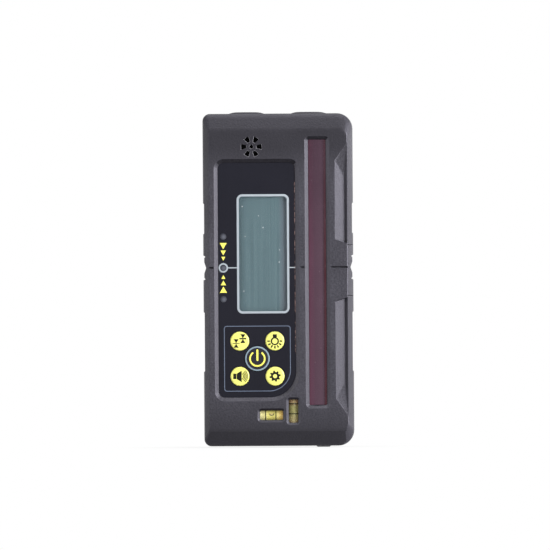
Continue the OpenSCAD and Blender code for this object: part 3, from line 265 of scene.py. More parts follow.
def weighted(tree, first, share, second, rest):
    """The sum of two values, each taken with its share"""
    return sum_up(
        tree, "ADD", sum_up(tree, "MULTIPLY", first, share), sum_up(tree, "MULTIPLY", second, rest))


def texture(tree, kind, vector, scale, **settings):
    """A texture node read at a vector, with its scale from a socket or a number"""
    return add(tree, kind, {"Vector": vector, "Scale": scale, **settings}).outputs[0]


grain, start, end = effect("moulded_grain", {"Grain mm": 0.4, "Cloud mm": 25}, ("Tone", "Height"))
fine = sum_up(grain, "DIVIDE", 1000, start["Grain mm"])
broad = sum_up(grain, "DIVIDE", 1000, start["Cloud mm"])
pores = texture(grain, "ShaderNodeTexNoise", start["Vector"], fine, Detail=2.5, Roughness=0.6)
cells = texture(grain, "ShaderNodeTexVoronoi", start["Vector"], fine)
clouds = texture(grain, "ShaderNodeTexNoise", start["Vector"], broad, Detail=3)
grain.links.new(weighted(grain, pores, 0.65, clouds, 0.35), end["Tone"])
grain.links.new(weighted(grain, pores, 0.7, cells, 0.5), end["Height"])

rubs, start, end = effect("rubbed_patches", {"Patch mm": 14, "Amount": 0.35}, ("Mask",))
patch = texture(
    rubs, "ShaderNodeTexNoise", start["Vector"],
    sum_up(rubs, "DIVIDE", 1000, start["Patch mm"]), Detail=5, Roughness=0.65,
)
lifted = sum_up(rubs, "SUBTRACT", patch, 0.5)
mask = sum_up(rubs, "MULTIPLY", sum_up(rubs, "MAXIMUM", lifted, 0), 4)
rubs.links.new(sum_up(rubs, "MULTIPLY", mask, start["Amount"]), end["Mask"])

dust, start, end = effect("dust_specks", {"Spacing mm": 2.5, "Speck mm": 0.12}, ("Mask",))
away = texture(
    dust, "ShaderNodeTexVoronoi", start["Vector"],
    sum_up(dust, "DIVIDE", 1000, start["Spacing mm"]),
)
reach = sum_up(dust, "DIVIDE", start["Speck mm"], start["Spacing mm"])
dust.links.new(sum_up(dust, "LESS_THAN", away, reach), end["Mask"])

streaks, start, end = effect("fine_streaks", {"Across mm": 0.5, "Along mm": 30}, ("Tone",))
stretch = add(streaks, "ShaderNodeCombineXYZ", {
    axis: sum_up(streaks, "DIVIDE", 1000, start[label])
    for axis, label in (("X", "Across mm"), ("Y", "Across mm"), ("Z", "Along mm"))}).outputs[0]
drawn = add(streaks, "ShaderNodeVectorMath", {0: start["Vector"], 1: stretch}, operation="MULTIPLY")
streaks.links.new(
    texture(streaks, "ShaderNodeTexNoise", drawn.outputs[0], 1, Detail=3), end["Tone"]
)

# Painted shade: a mask that is 1 in a lit middle band of the housing and falls to 0 towards its top and
# bottom ends
end_shading, start, end = effect("painted_end_shade", {"Middle mm": 80, "Lit mm": 52, "Shaded mm": 72}, ("Mask",))
up_mm = sum_up(end_shading, "MULTIPLY", parts_of(end_shading, start["Vector"])["Z"], 1000)
off_middle = sum_up(end_shading, "SUBTRACT", up_mm, start["Middle mm"])
to_shaded = sum_up(end_shading, "SUBTRACT", start["Shaded mm"], sum_up(end_shading, "ABSOLUTE", off_middle, 0))
fading = sum_up(end_shading, "SUBTRACT", start["Shaded mm"], start["Lit mm"])
left_over = sum_up(end_shading, "DIVIDE", to_shaded, fading)
end_shading.links.new(
    sum_up(end_shading, "MINIMUM", sum_up(end_shading, "MAXIMUM", left_over, 0), 1), end["Mask"]
)
print("effects:", [g.name for g in bpy.data.node_groups])

# %% [markdown]
# ## Finishes
# Nearly every piece is moulded from some plastic or rubber: a base colour that wanders a little, a fine
# grain that breaks up the gloss, and patches that hands have rubbed smoother. One recipe with
# different numbers makes them all, and the few special finishes after it start from the same nodes.

# %% Write the moulded finishes
def tint(red, green, blue):
    """A colour as read from a screen, turned into the linear colour that a shader wants"""
    def linear(c):
        c /= 255
        return c / 12.92 if c <= 0.04045 else ((c + 0.055) / 1.055) ** 2.4
    return (linear(red), linear(green), linear(blue), 1)


def new_finish(name):
    finish = bpy.data.materials.new(name)
    finish.use_nodes = True
    tree = finish.node_tree
    place = tree.nodes.new("ShaderNodeTexCoord").outputs["Object"]
    return finish, tree, tree.nodes["Principled BSDF"], place


def use(tree, group, place, **values):
    """Puts a shared effect into a finish and gives its outputs"""
    values = {label.replace("_", " "): value for label, value in values.items()}
    return add(tree, "ShaderNodeGroup", {"Vector": place, **values}, node_tree=group).outputs


def blend_colours(tree, share, first, second):
    """A mix of two colours, each from a socket or as read from a screen"""
    first, second = (tint(*c) if isinstance(c, tuple) else c for c in (first, second))
    return add(tree, "ShaderNodeMix", {"Factor": share, 6: first, 7: second}, data_type="RGBA").outputs[2]


def ramped(tree, value, stops):
    """A colour that runs through stops, each a place from 0 to 1 and a colour as read from a screen"""
    ramp = add(tree, "ShaderNodeValToRGB", {"Fac": value})
    while len(ramp.color_ramp.elements) < len(stops):
        ramp.color_ramp.elements.new(0.5)
    for element, (at, colour) in zip(ramp.color_ramp.elements, stops):
        element.position, element.color = at, tint(*colour)
    return ramp.outputs["Color"]


def roughen(tree, shader, height, depth_mm, strength):
    bumps = {"Strength": strength, "Distance": depth_mm * MM, "Height": height}
    feed(shader, "Normal", add(tree, "ShaderNodeBump", bumps).outputs["Normal"])


END_SHADE_BLACK = (13, 12, 16)
GRAIN_STRENGTH = 0.6


def moulded(
    name, dark, light, rough, shine, grain_mm, depth_mm,
    rubbed=0.3, cast=None, ends=None,
):
    """Moulded plastic or rubber. Where ends is given, painted shade leaves only that share of its colour at
    both ends
    """
    finish, tree, shader, place = new_finish(name)
    skin = use(tree, grain, place, Grain_mm=grain_mm)
    worn = use(tree, rubs, place, Amount=rubbed)
    colour = blend_colours(tree, spread(tree, skin["Tone"], 0, 1, 0.3, 0.7), dark, light)
    # Painted shade: towards the top and bottom ends the colour is blended towards near black
    if ends is not None:
        lit_middle = use(tree, end_shading, place)
        colour = blend_colours(tree, spread(tree, lit_middle["Mask"], ends, 1), END_SHADE_BLACK, colour)
    feed(shader, "Base Color", colour)
    base_rough = spread(tree, skin["Height"], rough - 0.05, rough + 0.05)
    smoother = sum_up(tree, "MULTIPLY", worn["Mask"], 0.3)
    feed(shader, "Roughness", sum_up(tree, "SUBTRACT", base_rough, smoother))
    feed(shader, "Specular IOR Level", shine)
    if cast:
        feed(shader, "Specular Tint", cast)
    roughen(tree, shader, skin["Height"], depth_mm, GRAIN_STRENGTH)
    return finish


LAVENDER = (0.885, 0.86, 1.0, 1)
INK_SKIN = (0.5, 0.2, 0.12, 0.002)
DARK_INK_SKIN = (0.5, 0.15, 0.12, 0.002)
# Painted light and shade: the skin, edge, matt and base finishes darken towards both ends; the matt and
# base finishes are darker for faces that look down, the side and fill finishes lighter for faces that look
# right or left, and the edge and slot rim finishes are lighter as painted highlights, the edge one partly
# as wear
housing_grey = moulded(
    "housing_grey", (12, 11, 16), (68, 67, 74), 0.41, 0.5, 0.9, 0.16, cast=LAVENDER, ends=0.15)
housing_edge = moulded(
    "housing_edge", (40, 39, 45), (62, 61, 68), 0.38, 0.52, 0.9, 0.02, cast=LAVENDER, ends=0.6)
housing_matt_shade = moulded(
    "housing_matt_shade", (16, 15, 19), (40, 39, 44), 0.72, 0.16, 0.9, 0.06, cast=LAVENDER, ends=0.8)
housing_lit_side = moulded(
    "housing_lit_side", (26, 25, 30), (56, 55, 62), 0.41, 0.5, 0.7, 0.07, rubbed=0.15, cast=LAVENDER)
housing_fill_light = moulded(
    "housing_fill_light", (36, 35, 40), (70, 69, 76), 0.41, 0.5, 0.7, 0.07, cast=LAVENDER)
housing_base_shade = moulded(
    "housing_base_shade", (12, 11, 16), (60, 59, 66), 0.44, 0.42, 0.9, 0.16, cast=LAVENDER, ends=0.15)
cap_matt = moulded("cap_matt", (40, 39, 45), (64, 63, 70), 0.7, 0.2, 0.9, 0.05, cast=LAVENDER)
slot_highlight = moulded("slot_highlight", (112, 110, 117), (136, 134, 141), 0.35, 0.5, 0.3, 0.01)
panel_film = moulded("panel_film", (16, 16, 25), (24, 24, 34), 0.36, 0.17, 0.22, 0.004)
key_yellow = moulded("key_yellow", (226, 224, 108), (238, 236, 120), 0.32, 0.8, 0.3, 0.006)
key_black = moulded("key_black", (26, 26, 33), (34, 34, 42), 0.45, 0.22, 0.3, 0.006)
ink_white = moulded("ink_white", (150, 158, 166), (166, 174, 181), *INK_SKIN)
ink_blue = moulded("ink_blue", (121, 138, 151), (135, 153, 165), *INK_SKIN)
ink_slate = moulded("ink_slate", (92, 102, 121), (104, 114, 133), *INK_SKIN)
ink_yellow = moulded("ink_yellow", (244, 236, 98), (252, 244, 112), *INK_SKIN)
ink_black = moulded("ink_black", (18, 18, 14), (26, 26, 20), *DARK_INK_SKIN)
ink_olive = moulded("ink_olive", (76, 74, 34), (92, 89, 42), *DARK_INK_SKIN)
# Painted highlight colour for the glint in the vial's bubble
bubble_glint_paint = moulded("bubble_glint_paint", (226, 196, 136), (236, 208, 150), 0.3, 0.4, 0.3, 0.002)
white_moulding = moulded("white_moulding", (222, 222, 216), (234, 234, 228), 0.4, 0.4, 0.5, 0.01)
black_moulding = moulded("black_moulding", (24, 24, 26), (34, 34, 37), 0.45, 0.4, 0.4, 0.015)
seal_rubber = moulded("seal_rubber", (20, 20, 21), (30, 30, 31), 0.75, 0.25, 0.25, 0.02)
contact_rubber = moulded("contact_rubber", (204, 148, 158), (220, 166, 174), 0.65, 0.3, 0.2, 0.01)
print("moulded finishes:", len(bpy.data.materials) - 1)

# %% [markdown]
# Metal needs no grain of its own but fine streaks from drawing, turning or plating. The same recipe
# gives zinc-plated steel, nickel and brass, and the streaks move the roughness and not the colour alone.

# %% Write the metal finishes
def metal(name, dark, light, rough, across_mm, along_mm):
    finish, tree, shader, place = new_finish(name)
    lines = use(tree, streaks, place, Across_mm=across_mm, Along_mm=along_mm)
    worn = use(tree, rubs, place, Patch_mm=3, Amount=0.4)
    feed(shader, "Base Color", blend_colours(tree, lines["Tone"], dark, light))
    feed(shader, "Metallic", 1)
    drawn = spread(tree, lines["Tone"], rough - 0.08, rough + 0.08)
    feed(shader, "Roughness", sum_up(tree, "ADD", drawn, sum_up(tree, "MULTIPLY", worn["Mask"], 0.15)))
    roughen(tree, shader, lines["Tone"], 0.004, 0.4)
    return finish


zinc_steel = metal("zinc_steel", (168, 170, 174), (205, 207, 210), 0.32, 0.15, 2)
spring_steel = metal("spring_steel", (150, 151, 154), (196, 198, 200), 0.28, 0.1, 1)
nickel = metal("nickel", (186, 184, 178), (214, 212, 206), 0.22, 0.3, 0.3)
brass = metal("brass", (186, 148, 78), (224, 190, 120), 0.3, 0.12, 0.6)
print("metals:", zinc_steel.name, spring_steel.name, nickel.name, brass.name)

# %% [markdown]
# ## Display, windows and lenses
# The display is a plain teal-grey glass with faint upright streaks, behind a clear cover with a
# little dust on it. Its glass has painted shade along its left edge and painted light in a band near its
# right edge, where the frame's shadow falls. The receiving window lets only the laser's red through, so it
# looks nearly black with a red cast, deepest along its two long edges; towards its right edge the darkening
# is painted shade with a painted red glint line in it, and a painted shadow darkens it below its top.
# Fine ribs across it spread the beam. The lamps are frosted, each with a painted glint a little right of
# and below its middle and painted shade towards its rim.

# %% Write the clear and tinted finishes
SHADE_SHARE, SHADE_FROM, SHADE_TO = 0.55, 1.2, 5.0
RIGHT_LIGHT_FROM, RIGHT_LIGHT_TO = 5.5, 2.6

display_teal, tree, shader, place = new_finish("display_teal")
lines = use(tree, streaks, place, Across_mm=0.8, Along_mm=60)
skin = use(tree, grain, place, Grain_mm=0.3, Cloud_mm=18)
both = weighted(tree, lines["Tone"], 0.7, skin["Tone"], 0.3)
across = parts_of(tree, place)["X"]
glass_left, glass_right = (corner[0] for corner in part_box("display_window"))
# Painted shade along the left edge of the glass, and painted light in a band near its right edge where the
# frame's shadow falls
left_shade = spread(
    tree, across, SHADE_SHARE, 0, glass_left + SHADE_FROM * MM, glass_left + SHADE_TO * MM)
teal = blend_colours(tree, spread(tree, both, 0, 1, 0.35, 0.65), (87, 107, 113), (103, 125, 131))
right_light = spread(tree, across, 0, 1, glass_right - RIGHT_LIGHT_FROM * MM, glass_right - RIGHT_LIGHT_TO * MM)
teal_with_light = blend_colours(tree, right_light, teal, (114, 124, 134))
feed(shader, "Base Color", blend_colours(tree, left_shade, teal_with_light, (72, 88, 95)))
feed(shader, "Roughness", spread(tree, lines["Tone"], 0.32, 0.42))
feed(shader, "Specular IOR Level", 0.2)


def clear(name, colour, alpha, rough, spacing_mm, speck_mm):
    """Clear plastic: mostly see-through, with specks of dust that are not"""
    finish, tree, shader, place = new_finish(name)
    specks = use(tree, dust, place, Spacing_mm=spacing_mm, Speck_mm=speck_mm)
    worn = use(tree, rubs, place, Patch_mm=10, Amount=0.3)
    feed(shader, "Base Color", blend_colours(tree, specks["Mask"], colour, (190, 196, 198)))
    feed(shader, "Alpha", spread(tree, specks["Mask"], alpha, 0.8))
    feed(shader, "Roughness", spread(tree, worn["Mask"], rough, rough + 0.12))
    return finish


display_clear = clear("display_clear", (40, 60, 66), 0.08, 0.08, 6.0, 0.34)
vial_clear = clear("vial_clear", (225, 220, 150), 0.1, 0.1, 1.5, 0.03)

WINDOW_HALF = 4.5 * MM
TOP_SHADOW_FROM, TOP_SHADOW_TO = 10 * MM, 52 * MM
RIB_PITCH = 1.0 * MM
# Across the window: a red cast, darker towards the right edge as painted shade, with a painted red glint
# line in it
WINDOW_RED_AND_SHADE_STOPS = (
    (0.0, (80, 40, 57)), (0.1, (82, 48, 65)), (0.35, (70, 48, 61)), (0.7, (68, 48, 60)),
    (0.8, (58, 40, 52)), (0.86, (40, 15, 24)), (0.92, (54, 9, 21)), (1.0, (35, 5, 14)),
)

window_red, tree, shader, place = new_finish("window_red")
side = parts_of(tree, place)
window_x, _, window_z = middle_of(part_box("receiving_window"))
across = spread(tree, side["X"], 0, 1, window_x - WINDOW_HALF, window_x + WINDOW_HALF)
# Painted shadow: towards the window's top its colour is blended halfway to a dark red-brown
top_shadow = spread(tree, side["Z"], 0, 0.5, window_z + TOP_SHADOW_FROM, window_z + TOP_SHADOW_TO)
skin = use(tree, grain, place, Grain_mm=0.35, Cloud_mm=12)
specks = use(tree, dust, place, Spacing_mm=3.5, Speck_mm=0.12)
red_and_shadow = blend_colours(tree, top_shadow, ramped(tree, across, WINDOW_RED_AND_SHADE_STOPS), (44, 25, 38))
haze = spread(tree, skin["Tone"], 0, 0.35, 0.45, 0.75)
cloudy = blend_colours(tree, haze, red_and_shadow, (84, 62, 74))
feed(shader, "Base Color", blend_colours(tree, specks["Mask"], cloudy, (120, 104, 112)))
feed(shader, "Roughness", spread(tree, skin["Tone"], 0.2, 0.32))
feed(shader, "Specular IOR Level", 0.25)
turns = sum_up(tree, "MULTIPLY", side["Z"], 2 * math.pi / RIB_PITCH)
roughen(tree, shader, sum_up(tree, "SINE", turns, 0), 0.02, 0.5)

# Painted glint and shade: each lens is paler around a point right of and below its middle and darker
# towards its rim
LAMP_PITCH = 15.85 * MM
GLINT_RIGHT, GLINT_DOWN = 0.2 * MM, 0.25 * MM
GLINT_CORE, GLINT_EDGE, GLINT_WAVE = 0.4 * MM, 1.7 * MM, 0.3 * MM

lamp_frosted, tree, shader, place = new_finish("lamp_frosted")
lamp_middle = middle_of(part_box("lamp_lenses"))
side = parts_of(tree, place)
above = sum_up(tree, "SUBTRACT", side["Z"], lamp_middle[2])
over = add(tree, "ShaderNodeMath", {0: above, 1: LAMP_PITCH / 2, 2: -LAMP_PITCH / 2}, operation="WRAP")
beside = sum_up(tree, "SUBTRACT", side["X"], lamp_middle[0] + GLINT_RIGHT)
below = sum_up(tree, "ADD", over.outputs[0], GLINT_DOWN)
far = sum_up(tree, "SQRT", weighted(tree, beside, beside, below, below), 0)
skin = use(tree, grain, place, Grain_mm=0.3, Cloud_mm=2)
wavy = sum_up(tree, "ADD", far, spread(tree, skin["Tone"], -GLINT_WAVE, GLINT_WAVE))
from_glint = spread(tree, wavy, 0, 1, GLINT_CORE, GLINT_EDGE)
feed(shader, "Base Color", blend_colours(tree, from_glint, (82, 84, 94), (36, 38, 48)))
feed(shader, "Roughness", spread(tree, skin["Tone"], 0.3, 0.5))
feed(shader, "Specular IOR Level", 0.35)
roughen(tree, shader, skin["Height"], 0.02, 0.6)
print("clear finishes:", display_clear.name, vial_clear.name, "window middle x:", round(window_x / MM, 2))

# %% [markdown]
# The spirit in the two vials is a bright yellow-green, and it looks cream or orange near the ends of
# the tube where the light comes through the moulded bracket. A colour ramp along the tube paints that
# light.
# The fluid also glows a little, a painted glow that evens out its shading, with its base colour dimmed to
# match.

# %% Write the vial fluids
SPIRIT_DIM, SPIRIT_PAINTED_GLOW = 0.7, 0.41


def spirit(name, node, axis, stops):
    """Vial fluid whose colour changes along the tube, at places given as shares of its length"""
    low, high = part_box(node)
    finish, tree, shader, place = new_finish(name)
    along = spread(tree, parts_of(tree, place)["XYZ"[axis]], 0, 1, low[axis], high[axis])
    swirl = use(tree, grain, place, Grain_mm=0.6, Cloud_mm=3)
    shift = sum_up(tree, "MULTIPLY", sum_up(tree, "SUBTRACT", swirl["Tone"], 0.5), 0.06)
    colour = ramped(tree, sum_up(tree, "ADD", along, shift), stops)
    dimmed = add(tree, "ShaderNodeHueSaturation", {"Value": SPIRIT_DIM, "Color": colour})
    feed(shader, "Base Color", dimmed.outputs[0])
    # Painted glow: the fluid emits its own colour though it is no lamp
    feed(shader, "Emission Color", colour)
    feed(shader, "Emission Strength", SPIRIT_PAINTED_GLOW)
    feed(shader, "Specular IOR Level", 0.15)
    feed(shader, "Roughness", spread(tree, swirl["Tone"], 0.25, 0.4))
    return finish


level_spirit = spirit("level_spirit", "horizontal_vial_fluid", 0, (
    (0.0, (232, 224, 168)), (0.2, (230, 221, 154)), (0.34, (220, 209, 116)),
    (0.66, (214, 203, 110)), (0.78, (232, 214, 134)), (0.9, (220, 186, 105)), (1.0, (186, 148, 83))))
plumb_spirit = spirit("plumb_spirit", "vertical_vial_fluid", 2, (
    (0.0, (134, 110, 90)), (0.12, (140, 124, 92)), (0.35, (132, 124, 82)), (0.7, (124, 119, 74)),
    (0.79, (112, 86, 62)), (0.88, (140, 106, 84)), (1.0, (104, 72, 58))))
print("fluids:", level_spirit.name, plumb_spirit.name)

# %% [markdown]
# Inside are things that show only where the housing opens: green boards with their copper tracks under
# the lacquer, and two dry cells in printed sleeves with bare metal ends.

# %% Write the board and cell finishes
TRACK_SCALE = 220

board_green, tree, shader, place = new_finish("board_green")
tracks = add(tree, "ShaderNodeTexBrick", {
    "Vector": place, "Scale": TRACK_SCALE, "Color1": tint(18, 84, 52), "Color2": tint(22, 94, 58),
    "Mortar": tint(44, 120, 70)})
feed(shader, "Base Color", tracks.outputs["Color"])
skin = use(tree, grain, place, Grain_mm=0.5)
feed(shader, "Roughness", spread(tree, skin["Tone"], 0.25, 0.4))
roughen(tree, shader, tracks.outputs["Fac"], 0.03, 0.4)


BAND_FROM = 0.72
SLEEVE_MIDDLE, SLEEVE_HALF = 0.485, 0.473


def cell_sleeve(name, node, upright):
    """A dry cell: dark sleeve, a coppery band near its raised end, and bare metal at both ends"""
    low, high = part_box(node)
    ends = (low[2], high[2]) if upright else (high[2], low[2])
    finish, tree, shader, place = new_finish(name)
    along = spread(tree, parts_of(tree, place)["Z"], 0, 1, *ends)
    skin = use(tree, grain, place, Grain_mm=0.3, Cloud_mm=8)
    band = sum_up(tree, "GREATER_THAN", along, BAND_FROM)
    tone = blend_colours(tree, skin["Tone"], (30, 32, 36), (42, 44, 50))
    sleeve = blend_colours(tree, band, tone, (186, 132, 84))
    from_middle = sum_up(tree, "ABSOLUTE", sum_up(tree, "SUBTRACT", along, SLEEVE_MIDDLE), 0)
    bare = sum_up(tree, "GREATER_THAN", from_middle, SLEEVE_HALF)
    feed(shader, "Base Color", blend_colours(tree, bare, sleeve, (196, 196, 194)))
    feed(shader, "Metallic", bare)
    feed(shader, "Roughness", spread(tree, skin["Tone"], 0.22, 0.38))
    roughen(tree, shader, skin["Height"], 0.004, 0.4)
    return finish


cell_up = cell_sleeve("cell_up", "battery_cell_left", True)
cell_down = cell_sleeve("cell_down", "battery_cell_right", False)
print("finishes in all:", len(bpy.data.materials))

# %% [markdown]
# ## Dress the solid parts
# A solid whose shape is right stays as it is and only gets its finish. The copies of the moulded
# shells, further down, take the place of theirs.

# %% Give every solid its finish
FINISHES = {
    housing_grey: ("front_housing", "rear_housing", "battery_door", "door_latch"),
    cap_matt: ("magnet_caps",),
    panel_film: ("control_panel",),
    key_yellow: ("accuracy_key", "backlight_key", "sound_key", "set_key"),
    key_black: ("power_key",),
    display_clear: ("display_window",),
    display_teal: ("display_glass",),
    window_red: ("receiving_window",),
    lamp_frosted: ("lamp_lenses",),
    vial_clear: ("horizontal_vial", "vertical_vial"),
    level_spirit: ("horizontal_vial_fluid",),
    plumb_spirit: ("vertical_vial_fluid",),
    white_moulding: ("display_backlight", "grade_lamps", "vial_bracket"),
    black_moulding: ("key_switches", "board_link", "photodiodes", "buzzer"),
    seal_rubber: ("housing_seal", "buzzer_membrane", "door_seal"),
    contact_rubber: ("display_contact_strips",),
    board_green: ("main_board", "sensor_board"),
    zinc_steel: ("housing_screws", "board_screws", "door_hinge_pin", "battery_contacts"),
    spring_steel: ("latch_spring", "battery_springs"),
    nickel: ("top_magnets",),
    brass: ("clamp_insert",),
    cell_up: ("battery_cell_left",),
    cell_down: ("battery_cell_right",),
}


def dress(obj, finish):
    if not obj.material_slots:
        obj.data.materials.append(finish)
    for place in obj.material_slots:
        place.link = "OBJECT"
        place.material = finish


for finish, names in FINISHES.items():
    for name in names:
        dress(nodes[name], finish)
print("dressed:", sum(len(names) for names in FINISHES.values()), "of", len(nodes))

# %% [markdown]
# ## Moulded shells
# A tool for plastic has no knife edges, so every edge of the shells is a little round and catches a
# line of light. A copy of each solid is merged, its flat faces are joined, and a bevel rounds the
# edges. The bevel puts its new faces in a second finish, which is a shade lighter and smoother: partly
# the wear of hands, partly a painted highlight along the edges. The top and the walls of recesses that
# look down get a third, matt and darker finish; on those walls its darker colour is painted shade.
# The mouths of the sound slots get a bright one, a painted highlight around each slot. Walls that look
# right get a lighter finish, painted light from the lamps on the right, walls of recesses that look left
# get a lighter one as painted fill light, and the bevel along the base gets a darker one as painted shade.
# Corners that the bevel pulled out of a large flat face go back.

# %% Round the edges of the shells
def take(obj):
    """Makes one object the only one that is selected"""
    if bpy.context.object and bpy.context.object.mode == "EDIT":
        bpy.ops.object.mode_set(mode="OBJECT")
    select_none()
    obj.select_set(True)
    bpy.context.view_layer.objects.active = obj


def at_origin(obj):
    """Applies an object's place, turn and scale, so that it ends at the origin"""
    take(obj)
    bpy.ops.object.transform_apply(location=True, rotation=True, scale=True)


def smoothed(obj, angle):
    take(obj)
    bpy.ops.object.shade_smooth_by_angle(angle=math.radians(angle))


def edit_all(obj):
    """Opens one object for shaping, with all of it selected"""
    take(obj)
    bpy.ops.object.mode_set(mode="EDIT")
    bpy.ops.mesh.select_all(action="SELECT")


def apply_modifier(obj, kind, **settings):
    take(obj)
    modifier = obj.modifiers.new(kind.lower(), kind)
    for label, value in settings.items():
        setattr(modifier, label, value)
    bpy.ops.object.modifier_apply(modifier=modifier.name)


SKIN, EDGE, MATT_SHADE, MOUTH, BASE, LIT_SIDE, FILL_LIGHT = range(7)
MERGE_REACH = 0.004 * MM
FLAT_ANGLE = 0.6
EDGE_ANGLE = 19
SMOOTH_ANGLE = 32
BEVEL_STEPS = 2
FACING_FRONT = 0.999
FLAT_AREA = 20 * MM * MM
UNDERSIDE, TOPSIDE, SIDEWAYS = -0.35, 0.95, 0.3
BASE_BEVEL = 9 * MM
LEFT_RIM = -30 * MM
TOP_FACE = cad_high[2] - 3 * MM
GRILLE_REACH = 5.6 * MM
FRONT_FACE = cad_low[1]

grille = Vector(middle_of(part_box("buzzer_membrane")))


def copied(node, piece):
    """A copy of a solid with its loose triangles merged"""
    take(nodes[node])
    bpy.ops.object.duplicate()
    copy = bpy.context.object
    bpy.ops.object.parent_clear(type="CLEAR_KEEP_TRANSFORM")
    copy.name = copy.data.name = piece
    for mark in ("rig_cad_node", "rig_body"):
        if mark in copy:
            del copy[mark]
    bpy.ops.mesh.customdata_custom_splitnormals_clear()
    edit_all(copy)
    bpy.ops.mesh.remove_doubles(threshold=MERGE_REACH)
    bpy.ops.object.mode_set(mode="OBJECT")
    copy.data.materials.clear()
    return copy


def softened(node, piece, body, edge_mm, finishes):
    """A copy of a solid with rounded edges, in the solid's place"""
    copy = copied(node, piece)
    edit_all(copy)
    bpy.ops.mesh.dissolve_limited(angle_limit=math.radians(FLAT_ANGLE))
    bpy.ops.object.mode_set(mode="OBJECT")
    for finish in finishes:
        copy.data.materials.append(finish)
    apply_modifier(
        copy, "BEVEL", width=edge_mm * MM, segments=BEVEL_STEPS, limit_method="ANGLE",
        angle_limit=math.radians(EDGE_ANGLE), use_clamp_overlap=False, material=EDGE,
    )
    points = copy.data.vertices
    for face in copy.data.polygons:
        if face.area > FLAT_AREA and abs(face.normal.y) > FACING_FRONT:
            depths = sorted(points[i].co.y for i in face.vertices)
            for i in face.vertices:
                points[i].co.y = depths[len(depths) // 2]
        under = face.normal.z < UNDERSIDE
        on_top = face.normal.z > TOPSIDE and face.center.z > TOP_FACE
        off = face.center - grille
        in_front = face.center.y < FRONT_FACE + edge_mm * MM
        at_slot = in_front and math.hypot(off.x, off.z) < GRILLE_REACH
        # Painted light and shade by the way a face looks: down is darker, right and left are lighter, slot
        # mouths brighter
        if under and face.center.z < BASE_BEVEL:
            face.material_index = LIT_SIDE if face.normal.x > SIDEWAYS else BASE
        elif under or on_top:
            face.material_index = MATT_SHADE
        elif face.material_index == SKIN and face.normal.x > SIDEWAYS:
            face.material_index = LIT_SIDE
        elif face.material_index == SKIN and face.normal.x < -SIDEWAYS and face.center.x > LEFT_RIM:
            face.material_index = FILL_LIGHT
        elif face.material_index == EDGE and at_slot:
            face.material_index = MOUTH
    apply_modifier(copy, "TRIANGULATE", ngon_method="BEAUTY", min_vertices=5)
    smoothed(copy, SMOOTH_ANGLE)
    apply_modifier(copy, "WEIGHTED_NORMAL", mode="FACE_AREA", weight=90, keep_sharp=True)
    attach(copy, body)
    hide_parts(node)
    return copy


shell_finishes = (
    housing_grey, housing_edge, housing_matt_shade, slot_highlight, housing_base_shade, housing_lit_side, housing_fill_light)
for node, piece, body, edge_mm in (
    ("front_housing", "front_shell", "housing", 0.14),
    ("rear_housing", "rear_shell", "housing", 0.18),
    ("battery_door", "battery_cover", "battery_door", 0.15),
    ("door_latch", "latch_slide", "door_latch", 0.2),
):
    shell = softened(node, piece, body, edge_mm, shell_finishes)
    print(piece, "faces:", len(shell.data.polygons))

# %% [markdown]
# ## Latch spring
# A spring pushes the latch of the battery door back into its place. The solid spring can't get shorter, so
# a copy of it with a mesh of its own stands in for it, fixed to the housing.

latch_coil = copied("latch_spring", "latch_coil")
smoothed(latch_coil, SMOOTH_ANGLE)
dress(latch_coil, spring_steel)
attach(latch_coil, "housing")
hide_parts("latch_spring")
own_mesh(latch_coil)

# %% [markdown]
# ## Printed marks
# The panel's marks are screen-printed ink a few hundredths of a millimetre thick. They could be painted in
# the finish, but as thin raised shapes they stay sharp from any distance. Each is drawn flat in
# millimetres on a plane, given its thickness, then stood up on the face that carries it.

# %% Make the drawing tools
BASE_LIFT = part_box("front_housing")[0][2] / MM
PANEL_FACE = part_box("control_panel")[0][1] / MM
INK = 0.03
SUNK = 0.02
SQUARE = (0,) * 4
IN_FRONT = PANEL_FACE - 1


def pick(obj, kind, test):
    """Selects the points or faces of a mesh in edit mode whose middle passes a test"""
    bpy.ops.mesh.select_mode(type=kind)
    bpy.ops.mesh.select_all(action="DESELECT")
    drawing = bmesh.from_edit_mesh(obj.data)
    for part in drawing.verts if kind == "VERT" else drawing.faces:
        part.select_set(test(part.co if kind == "VERT" else part.calc_center_median()))
    drawing.select_flush_mode()
    bmesh.update_edit_mesh(obj.data)


def begin(name):
    """Opens the newest primitive for shaping"""
    obj = bpy.context.object
    obj.name = obj.data.name = name
    bpy.ops.object.mode_set(mode="EDIT")
    bpy.ops.mesh.select_mode(type="VERT")
    bpy.ops.mesh.select_all(action="SELECT")
    return obj


def sheet(name, width, height):
    """Opens a new flat sheet for shaping"""
    select_none()
    bpy.ops.mesh.primitive_plane_add(size=1)
    obj = begin(name)
    bpy.ops.transform.resize(value=(width, height, 1))
    return obj


def face_outwards():
    """Selects all of a mesh in edit mode and turns its faces outwards"""
    bpy.ops.mesh.select_all(action="SELECT")
    bpy.ops.mesh.normals_make_consistent(inside=False)


def plate(name, width, height, radii, at=(0, 0), turn=0.0):
    """A flat plate with rounded corners, from the lower left one round to the upper left one"""
    obj = sheet(name, width, height)
    for (x, y), radius in zip(((-1, -1), (1, -1), (1, 1), (-1, 1)), radii):
        if radius:
            pick(obj, "VERT", lambda p: p.x * x > 0 and p.y * y > 0)
            bpy.ops.mesh.bevel(affect="VERTICES", offset=radius, segments=max(3, round(radius * 4)))
    return settle(obj, at, turn)


def settle(obj, at, turn):
    """Turns and moves a drawn shape into its place on the drawing"""
    take(obj)
    obj.rotation_euler = (0, 0, turn)
    obj.location = (at[0], at[1], 0)
    at_origin(obj)
    return obj


def hollowed(obj, line):
    """Leaves only a line of a drawn shape, along its outline"""
    edit_all(obj)
    bpy.ops.mesh.inset(thickness=line, use_even_offset=True)
    bpy.ops.mesh.delete(type="FACE")
    bpy.ops.object.mode_set(mode="OBJECT")
    return obj


